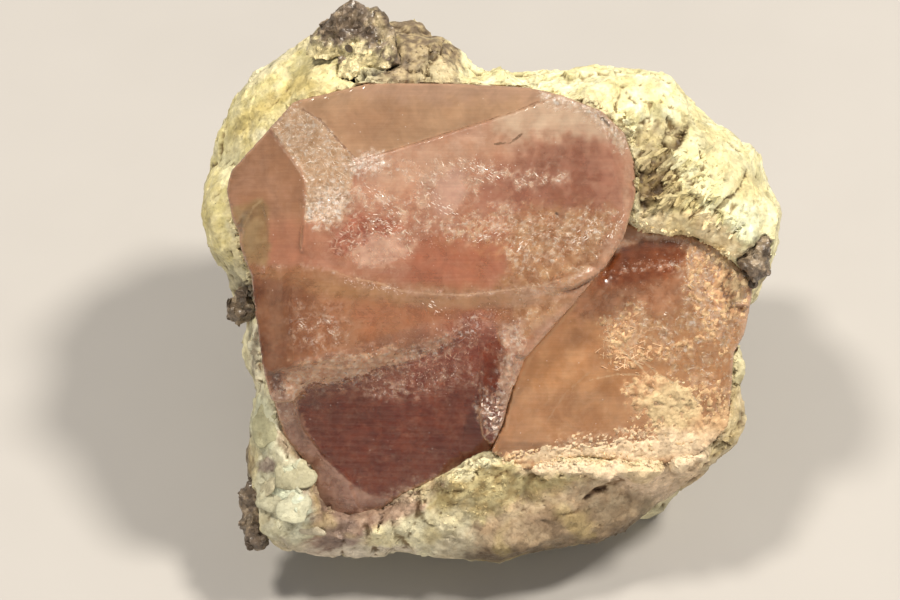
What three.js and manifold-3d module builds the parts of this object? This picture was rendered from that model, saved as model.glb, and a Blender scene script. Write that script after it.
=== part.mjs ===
// A cabinet specimen of morganite: two intergrown pink beryl crystals in cream albite matrix,
// with small clusters of grey lepidolite mica books. Millimetres, +Z up, resting on a flat cut base.
//
// The specimen is shaped in the frame of its display face: x to the right, y up the leaning face,
// z out of the face. Leaning that frame back and lifting it gives the standing specimen.

import * as THREE from "three";
import { ConvexGeometry } from "three/addons/geometries/ConvexGeometry.js";
import { ImprovedNoise } from "three/addons/math/ImprovedNoise.js";
import { mergeVertices } from "three/addons/utils/BufferGeometryUtils.js";
import Module from "manifold-3d";

const wasm = await Module();
wasm.setup();

// ---------- driving dimensions, in millimetres and degrees ----------

const LEAN_DEG = 40; // the display face's tilt back from the level
const FACE_HEIGHT = 52; // from the base up to the middle of the display face
const FACE_SETBACK = -11; // from the middle of the base to the middle of the face, along Y
const GIRTH_LEVEL = -15; // face-frame z at which the matrix is widest
const FRONT_RISE = { top: 21, bottom: 13, left: 17 }; // the matrix in front of its girth
const BACK_REACH = 56; // the matrix behind its girth, before the back and the base are cut
const BACK_Y = 36; // the broken back's distance behind the middle of the base
const UNDERCUT = { front: 29, slope: 1.2 }; // the base's front edge, and the lip's overhang per rise
const GAP = 0.3; // clearance between touching pieces
const FAR = 150; // reach of the cutting solids

// The matrix at its girth, anticlockwise from the right.
const MATRIX_OUTLINE = [
  [51.6, 3.3], [51.8, 8.7], [51, 14], [50, 18.5], [48.9, 22], [46.6, 24.6], [42.8, 25.1],
  [42.3, 27], [40.3, 28.8], [37.3, 30.6], [34.6, 33.1], [31.6, 36.6], [25.7, 37.6],
  [20.4, 37.4], [13.2, 38.1], [8.8, 37.4], [2.5, 38.1], [-3.9, 37.7], [-5.2, 39.9],
  [-5.6, 42.3], [-8.4, 44], [-13.5, 45.6], [-19, 46.6], [-26, 46.9], [-30, 45.2],
  [-31, 43.4], [-34.9, 40.8], [-38.5, 37.7], [-42.1, 34.9], [-46, 31], [-47.2, 27.4],
  [-47.6, 23.8], [-49.4, 19.8], [-51.4, 15.8], [-50.5, 11.3], [-49.2, 6.4], [-45.4, 3.5],
  [-43.2, 0], [-42.4, -4.4], [-42.1, -7], [-42.8, -9.6], [-42, -13.4], [-40.5, -18.1],
  [-40.7, -21.6], [-42.6, -26.6], [-43.6, -31.5], [-43.8, -36], [-43, -41.4], [-42, -45.6],
  [-39.9, -48.6], [-34.9, -50], [-27.8, -49.5], [-20.7, -49.1], [-15.3, -48.8],
  [-10.9, -49.7], [-4.6, -49.5], [2.5, -49.9], [6.1, -48.8], [10.5, -47.5], [18.6, -46.3],
  [23, -45.4], [26.6, -43.1], [31.1, -38.6], [38.2, -34.2], [45, -28.8], [46.1, -24.4],
  [46, -21.6], [44.7, -18.6], [44.3, -12.8], [45, -7.4], [47.8, -1.8],
];

// The main crystal's rim, clockwise from its top left corner.
const MAIN_OUTLINE = [
  [-32.9, 30.6], [-20.1, 33.8], [-4.7, 33.7], [7.3, 33], [11.8, 31.9], [19.4, 28.9],
  [23.2, 25.4], [24.9, 20.3], [25, 15.1], [22.8, 7.7], [19.9, 3.1], [12.5, -5.5], [6, -12.9],
  [4.4, -17.5], [2.6, -24.4], [0.5, -29.1], [-8.1, -33.5], [-15, -36.8], [-18.4, -39.4],
  [-23.6, -40.7], [-27, -40.4], [-30.1, -37.3], [-29.6, -33], [-32.2, -30.1], [-34.9, -27],
  [-36.3, -21.8], [-37.7, -16.3], [-38.7, -9.8], [-39.6, -2.9], [-40.2, 1.6], [-41.5, 4.2],
  [-43.2, 9.9], [-44.5, 16], [-43.7, 19.1], [-37.3, 25.8],
];

// The side crystal's rim. Its left part lies under the main crystal, which is cut out of it.
const SIDE_OUTLINE = [
  [20, 10.4], [24.5, 10.4], [27.5, 8.5], [35.3, 8], [39.1, 6.4], [43.1, 3.3], [46.1, -0.5],
  [45.7, -5], [44.7, -9], [42.8, -12], [42.3, -18.6], [41.6, -24.7], [37.4, -29],
  [33.6, -30.9], [26.6, -31.1], [19.7, -30], [16.2, -29.5], [13.6, -30.7], [9.2, -31.8],
  [5.8, -32.1], [1.9, -29.4], [-3, -29.4], [-3, -20], [10, -6],
];

// A facet cuts away what lies in front of a sloping plane, inside its region: `at` is a point of
// the plane and `slope` its rise in z per millimetre to the right and up the face.
const MAIN_FACETS = [
  { // broad frosted face
    region: [[-60, 60], [60, 60], [60, -60], [-60, -60]], at: [-5, 12, 8], slope: [-0.01, -0.03],
  },
  { // smooth triangle along the top edge
    region: [[-31.9, 29.7], [-28.5, 27.6], [-25.4, 24.2], [-22.2, 20.8], [-14.9, 22.9],
      [-6.4, 25.6], [3.8, 28.8], [11.7, 31.4], [14, 48], [-36, 48]],
    at: [-22.2, 20.8, 7.7], slope: [-0.01, -0.16],
  },
  { // sparkling strip beside the triangle
    region: [[-31.9, 29.7], [-28.5, 27.6], [-25.4, 24.2], [-22.2, 20.8], [-24.2, 14.1],
      [-28.8, 10.3], [-31.4, 10.3], [-30.9, 17.1], [-31.9, 19.5], [-36.6, 25.6], [-48, 36],
      [-36, 48]],
    at: [-22.2, 20.8, 7.8], slope: [0.11, -0.05],
  },
  { // smooth facet that turns to the left
    region: [[-36.6, 25.6], [-31.9, 19.5], [-30.9, 17.1], [-31.4, 10.3], [-32, 2.4],
      [-37.4, 1], [-60, 1], [-60, 36], [-48, 36]],
    at: [-31.4, 10.3, 7.1], slope: [0.34, 0.02],
  },
  { // small steep facet at the left edge
    region: [[-43, 9.9], [-41, 12.1], [-38.6, 13.3], [-37.5, 9.9], [-37.5, 1], [-56, 1],
      [-56, 9.9]],
    at: [-37.5, 9.9, 4.9], slope: [0.62, 0],
  },
  { // bevel down the right edge
    region: [[11.7, 31.4], [17.5, 26.9], [20.9, 22.7], [21.6, 16.7], [19.8, 9], [16.5, 2.6],
      [18, -8], [50, -8], [50, 48], [14, 48]],
    at: [20.9, 22.7, 7.3], slope: [-0.78, -0.22],
  },
  { // lower step, under the curved ledge
    region: [[-60, 2.2], [-42.1, 2.2], [-37.3, 2.6], [-33.6, 3], [-28.5, 2.4], [-23.4, 1.1],
      [-18.3, 0.2], [-14.9, -0.9], [-9.8, -1.4], [-4.7, -1.6], [2.1, -1.1], [8.9, -1.4],
      [14.8, -0.6], [19, 1.8], [40, 1.8], [40, -60], [-60, -60]],
    at: [-10, -4, 6.9], slope: [-0.015, -0.01],
  },
  { // dark upright facet at the step's left edge
    region: [[-33.4, 2.6], [-33.2, -9.8], [-32.4, -15.4], [-60, -15.4], [-60, 2.6]],
    at: [-33.4, 0, 7], slope: [0.42, 0],
  },
  { // broken band that falls from the step to the sunken face
    region: [[-60, -15.8], [-38.5, -15.6], [-34.6, -14.6], [-28.6, -13.5], [-21.8, -12.5],
      [-14.9, -9.4], [-8.1, -7.7], [-2.1, -6], [3.6, -6.4], [4.4, -15],
      [9, -20], [9, -60], [-60, -60]],
    at: [-22, -12.5, 6.4], slope: [0.02, 0.4],
  },
  { // sunken dark face
    region: [[-33.2, -20.2], [-31.9, -17.8], [-28, -16.9], [-24.5, -16.7], [-20.2, -14.3],
      [-15, -11.6], [-6.4, -8.6], [-2.1, -7], [2.2, -7.4], [1.7, -10], [0.8, -16.7],
      [-1.2, -22.3], [-0.5, -26.4], [4, -32], [-4, -42], [-21.6, -42], [-24.5, -33.7],
      [-28.8, -29.7], [-32.6, -24.5]],
    at: [-15, -14, 3.2], slope: [0.03, 0.44],
  },
  { // rim facet below and left of the sunken face
    region: [[-33.2, -20.2], [-32.6, -24.5], [-28.8, -29.7], [-24.5, -33.7], [-21.6, -35.7],
      [-15, -35], [-9.9, -33.7], [-3.8, -31.1], [2, -31], [2, -60], [-60, -60],
      [-60, -20.2]],
    at: [-24.5, -33.7, -5.4], slope: [0.16, 0.44],
  },
  { // right flank of the band, falling to the side crystal
    region: [[4.8, -12.5], [3.8, -16], [3, -21], [1.6, -27], [0, -31], [12, -31], [12, -12.5]],
    at: [4.6, -13, 6.2], slope: [-0.25, 0.42],
  },
];

const SIDE_FACETS = [
  { // broad face, falling to the right
    region: [[-60, 60], [60, 60], [60, -60], [-60, -60]], at: [18, -8, 1], slope: [-0.13, 0.02],
  },
  { // dark wedge at the top left
    region: [[19.1, 0.9], [21.6, 3.6], [24.7, 5.5], [29, 6.4], [34, 6.9], [34.3, 3.6],
      [28.1, 2.4], [20.5, 0.2]],
    at: [28.1, 2.4, -1.4], slope: [-0.1, 0.3],
  },
  { // upper right bevel
    region: [[35.2, 12], [35.4, 3], [37, -1], [41.6, -5], [60, -5], [60, 20], [35.2, 20]],
    at: [37, -1, -1.5], slope: [-0.3, -0.04],
  },
  { // right bevel
    region: [[41.9, -4], [40.8, -12], [40, -18.7], [39.2, -24.8], [60, -30], [60, -4]],
    at: [40.8, -12, -2.3], slope: [-0.7, 0],
  },
  { // smooth lower face
    region: [[-10, -16.4], [2.2, -16.8], [19.5, -17.4], [36.9, -18.6], [60, -20], [60, -60],
      [-10, -60]],
    at: [19.5, -17.4, 0.8], slope: [-0.12, 0.17],
  },
  { // bottom bevel
    region: [[2, -28], [10, -28.4], [22, -27.4], [34, -26.4], [60, -22], [60, -60], [0, -60]],
    at: [22, -27.4, -1.3], slope: [-0.1, 0.35],
  },
];

// Slopes by which the matrix comes down to the side crystal's upper edge.
const MATRIX_FACETS = [
  { region: [[22, 6], [38.5, 6], [38.5, 40], [22, 40]], at: [31, 8.2, 1.2], slope: [-0.12, 0.75] },
  { region: [[38.5, 2], [50, -4], [60, 40], [38.5, 40]], at: [41, 5, -1], slope: [0.35, 0.65] },
];

// Back of each crystal's socket: `level` at the middle of the face, deeper or shallower up it.
const MAIN_BACK = { level: -17.5, slope: -0.16 };
const SIDE_BACK = { level: -21, slope: -0.1 };

// ---------- small helpers ----------

const MIDDLE = [0, -3]; // the outline is seen as a star from here

/** Seeded random numbers in 0..1, so that every run gives the same stone. */
function seeded(seed) {
  let state = seed >>> 0;
  return () => {
    state = (state + 0x6d2b79f5) >>> 0;
    let mixed = Math.imul(state ^ (state >>> 15), 1 | state);
    mixed = (mixed + Math.imul(mixed ^ (mixed >>> 7), 61 | mixed)) ^ mixed;
    return ((mixed ^ (mixed >>> 14)) >>> 0) / 4294967296;
  };
}

function solid(geometry) {
  const bare = geometry.clone();
  for (const name of Object.keys(bare.attributes)) {
    if (name !== "position") bare.deleteAttribute(name);
  }
  const merged = mergeVertices(bare, 1e-4);
  return new wasm.Manifold(
    new wasm.Mesh({
      numProp: 3,
      vertProperties: new Float32Array(merged.attributes.position.array),
      triVerts: new Uint32Array(merged.index.array),
    }),
  );
}

/** The largest body of a solid: crumbs that a cut leaves loose are dropped. */
function largest(made) {
  return made.decompose().reduce((a, b) => (a.volume() > b.volume() ? a : b));
}

function geometryOf(made) {
  const mesh = made.getMesh();
  const positions = new Float32Array(mesh.numVert * 3);
  for (let i = 0; i < mesh.numVert; i++) {
    positions.set(mesh.vertProperties.subarray(i * mesh.numProp, i * mesh.numProp + 3), i * 3);
  }
  return new THREE.BufferGeometry()
    .setAttribute("position", new THREE.BufferAttribute(positions, 3))
    .setIndex(new THREE.BufferAttribute(new Uint32Array(mesh.triVerts), 1));
}

/** An outline moved outwards by `gap`, with mitred corners. */
function grown(outline, gap) {
  const sign = THREE.ShapeUtils.area(outline.map(([x, y]) => new THREE.Vector2(x, y))) > 0 ? 1 : -1;
  return outline.map((point, i) => {
    const before = outline[(i + outline.length - 1) % outline.length];
    const after = outline[(i + 1) % outline.length];
    const into = new THREE.Vector2(point[0] - before[0], point[1] - before[1]).normalize();
    const out = new THREE.Vector2(after[0] - point[0], after[1] - point[1]).normalize();
    const normal = new THREE.Vector2(into.y + out.y, -(into.x + out.x)).normalize();
    const miter = Math.max(0.5, normal.dot(new THREE.Vector2(into.y, -into.x)));
    return [point[0] + (sign * normal.x * gap) / miter, point[1] + (sign * normal.y * gap) / miter];
  });
}

/** An upright prism on an outline, its foot on the plane through `at` with the given slope. */
function prism(outline, at, slope, height) {
  const shape = new THREE.Shape(outline.map(([x, y]) => new THREE.Vector2(x, y)));
  const geometry = new THREE.ExtrudeGeometry(shape, { depth: height, bevelEnabled: false });
  const shear = new THREE.Matrix4().set(
    1, 0, 0, 0,
    0, 1, 0, 0,
    slope[0], slope[1], 1, at[2] - slope[0] * at[0] - slope[1] * at[1],
    0, 0, 0, 1,
  );
  return solid(geometry.applyMatrix4(shear));
}

// ---------- crystals ----------

/** The space that a crystal fills in its socket, `gap` larger all round and open to the front. */
function socket(outline, back, gap) {
  return prism(grown(outline, gap), [0, 0, back.level - gap], [0, back.slope], FAR);
}

function crystal(outline, back, facets) {
  return facets.reduce(
    (body, facet) => body.subtract(prism(facet.region, facet.at, facet.slope, FAR)),
    prism(outline, [0, 0, back.level], [0, back.slope], FAR),
  );
}

const mainCrystal = largest(crystal(MAIN_OUTLINE, MAIN_BACK, MAIN_FACETS));
const mainSocket = socket(MAIN_OUTLINE, MAIN_BACK, GAP);
const sideCrystal = largest(
  crystal(SIDE_OUTLINE, SIDE_BACK, SIDE_FACETS)
    .subtract(socket(MAIN_OUTLINE, { level: -FAR / 2, slope: 0 }, GAP)),
);
const sideSocket = socket(SIDE_OUTLINE, SIDE_BACK, GAP);

// ---------- matrix ----------

const noise = new ImprovedNoise();

function outlineRadius(angle) {
  const ray = [Math.cos(angle), Math.sin(angle)];
  let radius = 0;
  MATRIX_OUTLINE.forEach((a, i) => {
    const b = MATRIX_OUTLINE[(i + 1) % MATRIX_OUTLINE.length];
    const edge = [b[0] - a[0], b[1] - a[1]];
    const from = [a[0] - MIDDLE[0], a[1] - MIDDLE[1]];
    const cross = ray[0] * edge[1] - ray[1] * edge[0];
    const along = (from[0] * edge[1] - from[1] * edge[0]) / cross;
    const part = (from[0] * ray[1] - from[1] * ray[0]) / cross;
    if (along > 0 && part >= 0 && part <= 1) radius = Math.max(radius, along);
  });
  return radius;
}

/** Height of a broken face: each cell of the rock ends in a plane of its own tilt. */
function fractured(point, cell) {
  const home = point.clone().divideScalar(cell).floor();
  let nearest = Infinity;
  let height = 0;
  for (let i = 0; i < 27; i++) {
    const corner = home.clone().add(
      new THREE.Vector3((i % 3) - 1, (Math.floor(i / 3) % 3) - 1, Math.floor(i / 9) - 1),
    );
    const random = seeded(73 * corner.x + 1009 * corner.y + 9176 * corner.z + 50021);
    const centre = corner.addScalar(0.5)
      .add(new THREE.Vector3(random() - 0.5, random() - 0.5, random() - 0.5))
      .multiplyScalar(cell);
    const away = centre.distanceTo(point);
    if (away < nearest) {
      nearest = away;
      const tilt = new THREE.Vector3(random() - 0.5, random() - 0.5, random() - 0.5);
      height = tilt.dot(point.clone().sub(centre)) + (random() - 0.5) * 0.35 * cell;
    }
  }
  return height;
}

/** Rolling and broken relief of the matrix, in millimetres, with calm ground at the girth. */
function relief(point) {
  const { x, y, z } = point;
  const rolling = 2.8 * noise.noise(x / 13 + 3, y / 13, z / 13);
  const warp = 2.5 * noise.noise(x / 6, y / 6 + 9, z / 6);
  const broken = 0.75 * fractured(new THREE.Vector3(x + warp, y - warp, z), 11);
  const fine = 0.7 * noise.noise(x / 3.1, y / 3.1, z / 3.1 + 5);
  const behind = THREE.MathUtils.smoothstep(GIRTH_LEVEL - z, 2, 14);
  const before = 0.6 * THREE.MathUtils.smoothstep(z - GIRTH_LEVEL, 2, 9);
  return (0.15 + behind + before) * (rolling + broken) + fine;
}

// Hollows and swellings of the visible matrix: place, reach and rise in millimetres.
const RELIEF_SPOTS = [
  { at: [30, 17, -2], reach: 4.2, rise: -5 }, // dark hollow beside the main crystal
  { at: [35, 24, -4], reach: 3.4, rise: -3 }, // slot above it
  { at: [46, 14, -9], reach: 8, rise: 1.8 }, // swelling at the right
  { at: [28, 32, -6], reach: 8, rise: 2 }, // high shoulder at the top right
  { at: [-38, 34, -8], reach: 9, rise: 1.6 }, // smooth shoulder at the top left
  { at: [-22, 38, -6], reach: 3, rise: -2 }, // hollow under the mica
  { at: [-37, -33, -4], reach: 6, rise: 2 }, // swelling under the white blades
  { at: [15, -34, -3], reach: 6, rise: 2 }, // grainy lip under the side crystal
  { at: [-12, -41, -7], reach: 5, rise: -1.6 }, // sunken ground between the upright fins
];

function spots(point) {
  return RELIEF_SPOTS.reduce((sum, spot) => {
    const away = point.distanceTo(new THREE.Vector3(...spot.at)) / spot.reach;
    return sum + spot.rise * Math.exp(-away * away);
  }, 0);
}

const lean = THREE.MathUtils.degToRad(LEAN_DEG);
const standing = new THREE.Matrix4()
  .makeRotationX(lean)
  .setPosition(0, FACE_SETBACK, FACE_HEIGHT);
const toFace = standing.clone().invert();

/** Below 0 inside a rounded slab that has the matrix outline at its girth. */
function outsideSlab(point) {
  const x = point.x - MIDDLE[0];
  const y = point.y - MIDDLE[1];
  const across = Math.hypot(x, y) / outlineRadius(Math.atan2(y, x));
  const deep = point.z - GIRTH_LEVEL;
  if (deep < 0) return across ** 2.6 + (-deep / BACK_REACH) ** 2.6 - 1;
  const low = THREE.MathUtils.smoothstep(-y, 4, 34);
  const left = THREE.MathUtils.smoothstep(-x, 26, 42) * (1 - low);
  const rise = THREE.MathUtils.lerp(FRONT_RISE.top, FRONT_RISE.bottom, low)
    + (FRONT_RISE.left - FRONT_RISE.top) * left;
  return across ** THREE.MathUtils.lerp(7, 3.6, low) + (deep / rise) ** 2.2 - 1;
}

const CORE = new THREE.Vector3(MIDDLE[0], MIDDLE[1] - 4, -26);

/** How far a form reaches from the core in a direction. */
function reachOf(outsideForm, direction) {
  let inner = 0;
  let outer = FAR;
  for (let step = 0; step < 30; step++) {
    const reach = (inner + outer) / 2;
    if (outsideForm(CORE.clone().addScaledVector(direction, reach)) < 0) inner = reach;
    else outer = reach;
  }
  return inner;
}

/** Flat broken faces: planes that chip the slab behind its girth. */
function chipPlanes({ count, seed, bite }) {
  const random = seeded(seed);
  return Array.from({ length: count }, (_, i) => {
    const angle = (2 * Math.PI * (i + 0.7 * random())) / count;
    const backward = -0.45 - 0.9 * random();
    const normal = new THREE.Vector3(Math.cos(angle), Math.sin(angle), backward).normalize();
    const reach = reachOf(outsideSlab, normal) * (1 - bite * (0.5 + random()));
    return new THREE.Plane().setFromNormalAndCoplanarPoint(
      normal,
      CORE.clone().addScaledVector(normal, reach),
    );
  });
}

const CHIPS = chipPlanes({ count: 26, seed: 5, bite: 0.13 });

/** Below 0 inside the matrix: the slab with a broken back, an undercut lip and chipped flanks. */
function outside(point) {
  const world = point.clone().applyMatrix4(standing);
  const back = world.y - BACK_Y - 0.06 * world.z;
  const undercut = -world.y - UNDERCUT.front - UNDERCUT.slope * world.z;
  const chipped = CHIPS.map((plane) => plane.distanceToPoint(point));
  return Math.max(outsideSlab(point), back, undercut, ...chipped);
}

/** The point of the matrix surface in a direction from its core. */
function surfacePoint(direction) {
  const bare = CORE.clone().addScaledVector(direction, reachOf(outside, direction));
  return bare.addScaledVector(direction, relief(bare) + spots(bare));
}

/** Face-frame z of the matrix in front of the place x, y. */
function frontLevel(x, y) {
  let inner = GIRTH_LEVEL;
  let outer = FAR;
  for (let step = 0; step < 30; step++) {
    const level = (inner + outer) / 2;
    if (outside(new THREE.Vector3(x, y, level)) < 0) inner = level;
    else outer = level;
  }
  const bare = new THREE.Vector3(x, y, inner);
  return inner + relief(bare) + spots(bare);
}

/** A place on the front of the matrix, `lift` above it. */
function onFront([x, y], lift) {
  return [x, y, frontLevel(x, y) + lift];
}

function matrixBody(detail) {
  const ball = mergeVertices(
    new THREE.IcosahedronGeometry(1, detail).deleteAttribute("normal").deleteAttribute("uv"),
    1e-5,
  );
  const positions = ball.attributes.position;
  for (let i = 0; i < positions.count; i++) {
    const direction = new THREE.Vector3().fromBufferAttribute(positions, i).normalize();
    positions.setXYZ(i, ...surfacePoint(direction).toArray());
  }
  return solid(ball);
}

/** An angular lump of rock: the hull of random points on an ellipsoid. */
function crag(at, size, turn, random, points = 15) {
  const hull = Array.from({ length: points }, () => {
    const up = 2 * random() - 1;
    const angle = 2 * Math.PI * random();
    const flat = Math.sqrt(1 - up * up);
    return new THREE.Vector3(
      (size[0] / 2) * flat * Math.cos(angle),
      (size[1] / 2) * flat * Math.sin(angle),
      (size[2] / 2) * up,
    );
  });
  return solid(place(new ConvexGeometry(hull), at, turn));
}

function place(geometry, at, turn) {
  const rotation = new THREE.Euler(...turn.map(THREE.MathUtils.degToRad));
  const matrix = new THREE.Matrix4().makeRotationFromEuler(rotation).setPosition(...at);
  return geometry.applyMatrix4(matrix);
}

/** Crags scattered over the matrix, sunk most of their height into it. */
function scatteredCrags({ count, seed, from, spread, size }) {
  const random = seeded(seed);
  return Array.from({ length: count }, () => {
    const direction = new THREE.Vector3(...from)
      .add(new THREE.Vector3(random() - 0.5, random() - 0.5, random() - 0.5).multiplyScalar(spread))
      .normalize();
    const lump = size * (0.6 + 0.8 * random());
    const centre = surfacePoint(direction).addScaledVector(direction, -0.26 * lump);
    const turn = [360 * random(), 360 * random(), 360 * random()];
    return crag(centre.toArray(), [lump, lump * 0.8, lump * 0.6], turn, random);
  });
}

const CRAG_FIELDS = [
  { count: 10, seed: 31, from: [0.7, 0.62, 0.6], spread: 0.7, size: 7 }, // top right
  { count: 7, seed: 12, from: [1, 0.42, 0.35], spread: 0.6, size: 7 }, // right swelling
  { count: 7, seed: 13, from: [-0.32, 1, 0.3], spread: 0.45, size: 7 }, // knob
  { count: 7, seed: 14, from: [0, 0.8, -0.7], spread: 1.6, size: 17 }, // broken back
  { count: 4, seed: 15, from: [0.9, -0.1, -0.6], spread: 1, size: 16 }, // right flank
  { count: 4, seed: 16, from: [-0.9, 0, -0.6], spread: 1, size: 16 }, // left flank
  { count: 5, seed: 18, from: [0.1, -1, -0.2], spread: 1, size: 10 }, // underside
];

// White cleavelandite blades at the lower left, and upright fins beside them.
const BLADES = [
  { at: [-32.8, -32.6], lift: 0.7, size: [10, 8.6, 3.6], turn: [-8, 14, 20] },
  { at: [-31.6, -38.4], lift: 0.8, size: [10, 8, 3.4], turn: [-12, 12, -8] },
  { at: [-30.2, -42.8], lift: 0.4, size: [10, 6, 3.2], turn: [-22, 6, 14] },
  { at: [-38.8, -36.2], lift: 0.2, size: [9, 9, 3.6], turn: [-6, -24, 0] },
  { at: [-37.6, -42.8], lift: 0.2, size: [9, 8, 3.6], turn: [-24, -20, 10] },
  { at: [-37.4, -26.6], lift: 0.2, size: [6, 10, 3], turn: [0, -16, 12] },
  { at: [-24.6, -43], lift: -1.4, size: [4.4, 8.6, 5], turn: [-38, 0, -10] },
  { at: [-19.6, -42.6], lift: -1.4, size: [4, 9, 5], turn: [-40, 0, 16] },
  { at: [-14.2, -41.8], lift: -1.4, size: [4.4, 9, 5], turn: [-40, 0, 20] },
  { at: [-7.8, -41], lift: -1.4, size: [5, 9, 5], turn: [-40, 0, 8] },
];

// Crusted lip of the matrix along the side crystal's foot.
const FOOT_CRAGS = [
  { at: [20, -32.4], lift: 0.4, size: [9.4, 5, 5], turn: [0, 8, 4] },
  { at: [27.4, -33], lift: 1.2, size: [9.6, 5, 6], turn: [0, 8, -4] },
  { at: [34.4, -32], lift: 2, size: [8.6, 4.6, 7], turn: [0, 8, 20] },
];

// ---------- mica ----------

/** A stack of mica books: hexagonal plates fanned round one place. */
function micaCluster({ at, lift, reach, plate, count, seed }, gap) {
  const random = seeded(seed);
  const middle = onFront(at, lift);
  return Array.from({ length: count }, () => {
    const wide = plate * (0.7 + 0.6 * random());
    const thick = wide * (0.35 + 0.3 * random());
    const book = new THREE.CylinderGeometry(wide / 2 + gap, (0.86 * wide) / 2 + gap, thick + 2 * gap, 6);
    const centre = middle.map((value, i) => value + (random() - 0.5) * reach[i]);
    return solid(place(book, centre, [360 * random(), 0, 360 * random()]));
  }).reduce((a, b) => a.add(b));
}

const MICA = {
  mica_top: { at: [-23.4, 41.6], lift: 0.2, reach: [13, 9, 2], plate: 5.6, count: 17, seed: 26 },
  mica_left: { at: [-42.6, -2.4], lift: 0, reach: [2.6, 5, 3], plate: 5.2, count: 6, seed: 22 },
  mica_lower_left: { at: [-41, -40.6], lift: -1.2, reach: [1.6, 10, 3], plate: 4.2, count: 9, seed: 23 },
  mica_right: { at: [46, 3.4], lift: 0.2, reach: [4, 6, 2], plate: 4.8, count: 7, seed: 24 },
};

// ---------- assembly ----------

const SURFACES = {
  matrix: { color: 0xe2dbb4, roughness: 0.8, metalness: 0 },
  crystal: { color: 0xc98d74, roughness: 0.25, metalness: 0, transparent: true, opacity: 0.8 },
  mica: { color: 0x786a66, roughness: 0.45, metalness: 0 },
};

/** A named mesh of a solid made in the face frame, leaned back and lifted to stand. */
function standingMesh(name, made, surface) {
  const geometry = geometryOf(made).applyMatrix4(standing);
  const flat = geometry.toNonIndexed();
  flat.computeVertexNormals();
  const mesh = new THREE.Mesh(flat, new THREE.MeshStandardMaterial(SURFACES[surface]));
  mesh.name = name;
  return mesh;
}

const floorCut = solid(
  new THREE.BoxGeometry(4 * FAR, 4 * FAR, 2 * FAR).translate(0, 0, -FAR).applyMatrix4(toFace),
);
const crystalsRoom = mainSocket.add(sideSocket);
const mica = Object.fromEntries(
  Object.entries(MICA).map(([name, cluster]) => [
    name,
    largest(micaCluster(cluster, 0).subtract(crystalsRoom)),
  ]),
);
const matrix = [
  ...CRAG_FIELDS.flatMap(scatteredCrags),
  ...[...BLADES, ...FOOT_CRAGS].map(({ at, lift, size, turn }, i) =>
    crag(onFront(at, lift), size, turn, seeded(41 + i), 30)),
].reduce((rock, lump) => rock.add(lump), matrixBody(11));
const slopedMatrix = MATRIX_FACETS.reduce(
  (rock, facet) => rock.subtract(prism(facet.region, facet.at, facet.slope, FAR)),
  matrix,
);
const matrixWithPockets = Object.values(MICA).reduce(
  (rock, cluster) => rock.subtract(micaCluster(cluster, GAP)),
  slopedMatrix.subtract(crystalsRoom),
);

const specimen = new THREE.Group();
specimen.add(standingMesh("matrix", largest(matrixWithPockets.subtract(floorCut)), "matrix"));
specimen.add(standingMesh("main_crystal", mainCrystal, "crystal"));
specimen.add(standingMesh("side_crystal", sideCrystal, "crystal"));
for (const [name, cluster] of Object.entries(mica)) {
  specimen.add(standingMesh(name, cluster, "mica"));
}

export default specimen;
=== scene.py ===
"""A cabinet specimen of morganite: two pink beryl crystals in cream albite with grey mica books.

Forms are laid out in the frame of the display face: x to the right, y up the leaning face, z out
of it, in millimetres. Zones on them are outlines and lines in the seen layout, 900 wide and 600
high: right and down from its corner, as the specimen is seen from VIEWER.
"""

from dataclasses import dataclass
from math import pi, radians

import bmesh
import bpy
import numpy as np
from mathutils import Euler, Matrix, Vector
from mathutils.bvhtree import BVHTree


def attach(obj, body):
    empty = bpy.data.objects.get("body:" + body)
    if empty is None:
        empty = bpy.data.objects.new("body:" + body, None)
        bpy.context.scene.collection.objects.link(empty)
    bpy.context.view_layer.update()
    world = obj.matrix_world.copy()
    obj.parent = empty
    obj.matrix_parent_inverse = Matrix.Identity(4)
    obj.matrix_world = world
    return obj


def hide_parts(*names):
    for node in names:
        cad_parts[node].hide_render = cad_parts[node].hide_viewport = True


MM = 0.001
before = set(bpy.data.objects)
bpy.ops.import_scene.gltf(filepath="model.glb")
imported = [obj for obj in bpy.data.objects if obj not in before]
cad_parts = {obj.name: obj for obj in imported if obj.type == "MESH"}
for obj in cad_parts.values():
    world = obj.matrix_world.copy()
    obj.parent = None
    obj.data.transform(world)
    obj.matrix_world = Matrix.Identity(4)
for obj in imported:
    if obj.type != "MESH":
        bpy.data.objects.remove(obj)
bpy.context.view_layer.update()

FACE_MIDDLE = (0, -0.011, 0.052)
FACE_TILT = 40  # degrees from the level
FACE = Matrix.Translation(FACE_MIDDLE) @ Matrix.Rotation(radians(FACE_TILT), 4, "X")
FROM_FACE = FACE @ Matrix.Scale(MM, 4)
TO_FACE = FROM_FACE.inverted()
VIEWER = Vector((-6.4, -2.94, 450))
SEEN_UNIT = 0.173  # millimetres on the face plane for one unit of the seen layout
SEEN_WIDTH = 900
SEEN_MIDDLE = (450, 300)

# ---------- noise, zones and paint ----------

RANDOM = np.random.default_rng(7)
PERM = RANDOM.permutation(256)
GRADIENTS = RANDOM.normal(size=(256, 3))
GRADIENTS /= np.linalg.norm(GRADIENTS, axis=1)[:, None]
CELL_RANDOM = RANDOM.random((256, 6))
CORNERS = [(i, j, k) for i in (0, 1) for j in (0, 1) for k in (0, 1)]
AROUND = [(i, j, k) for i in (-1, 0, 1) for j in (-1, 0, 1) for k in (-1, 0, 1)]


def hashed(i, j, k):
    """A number below 256 for each whole-numbered place, always the same one."""
    return PERM[(PERM[(PERM[i & 255] + j) & 255] + k) & 255]


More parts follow.
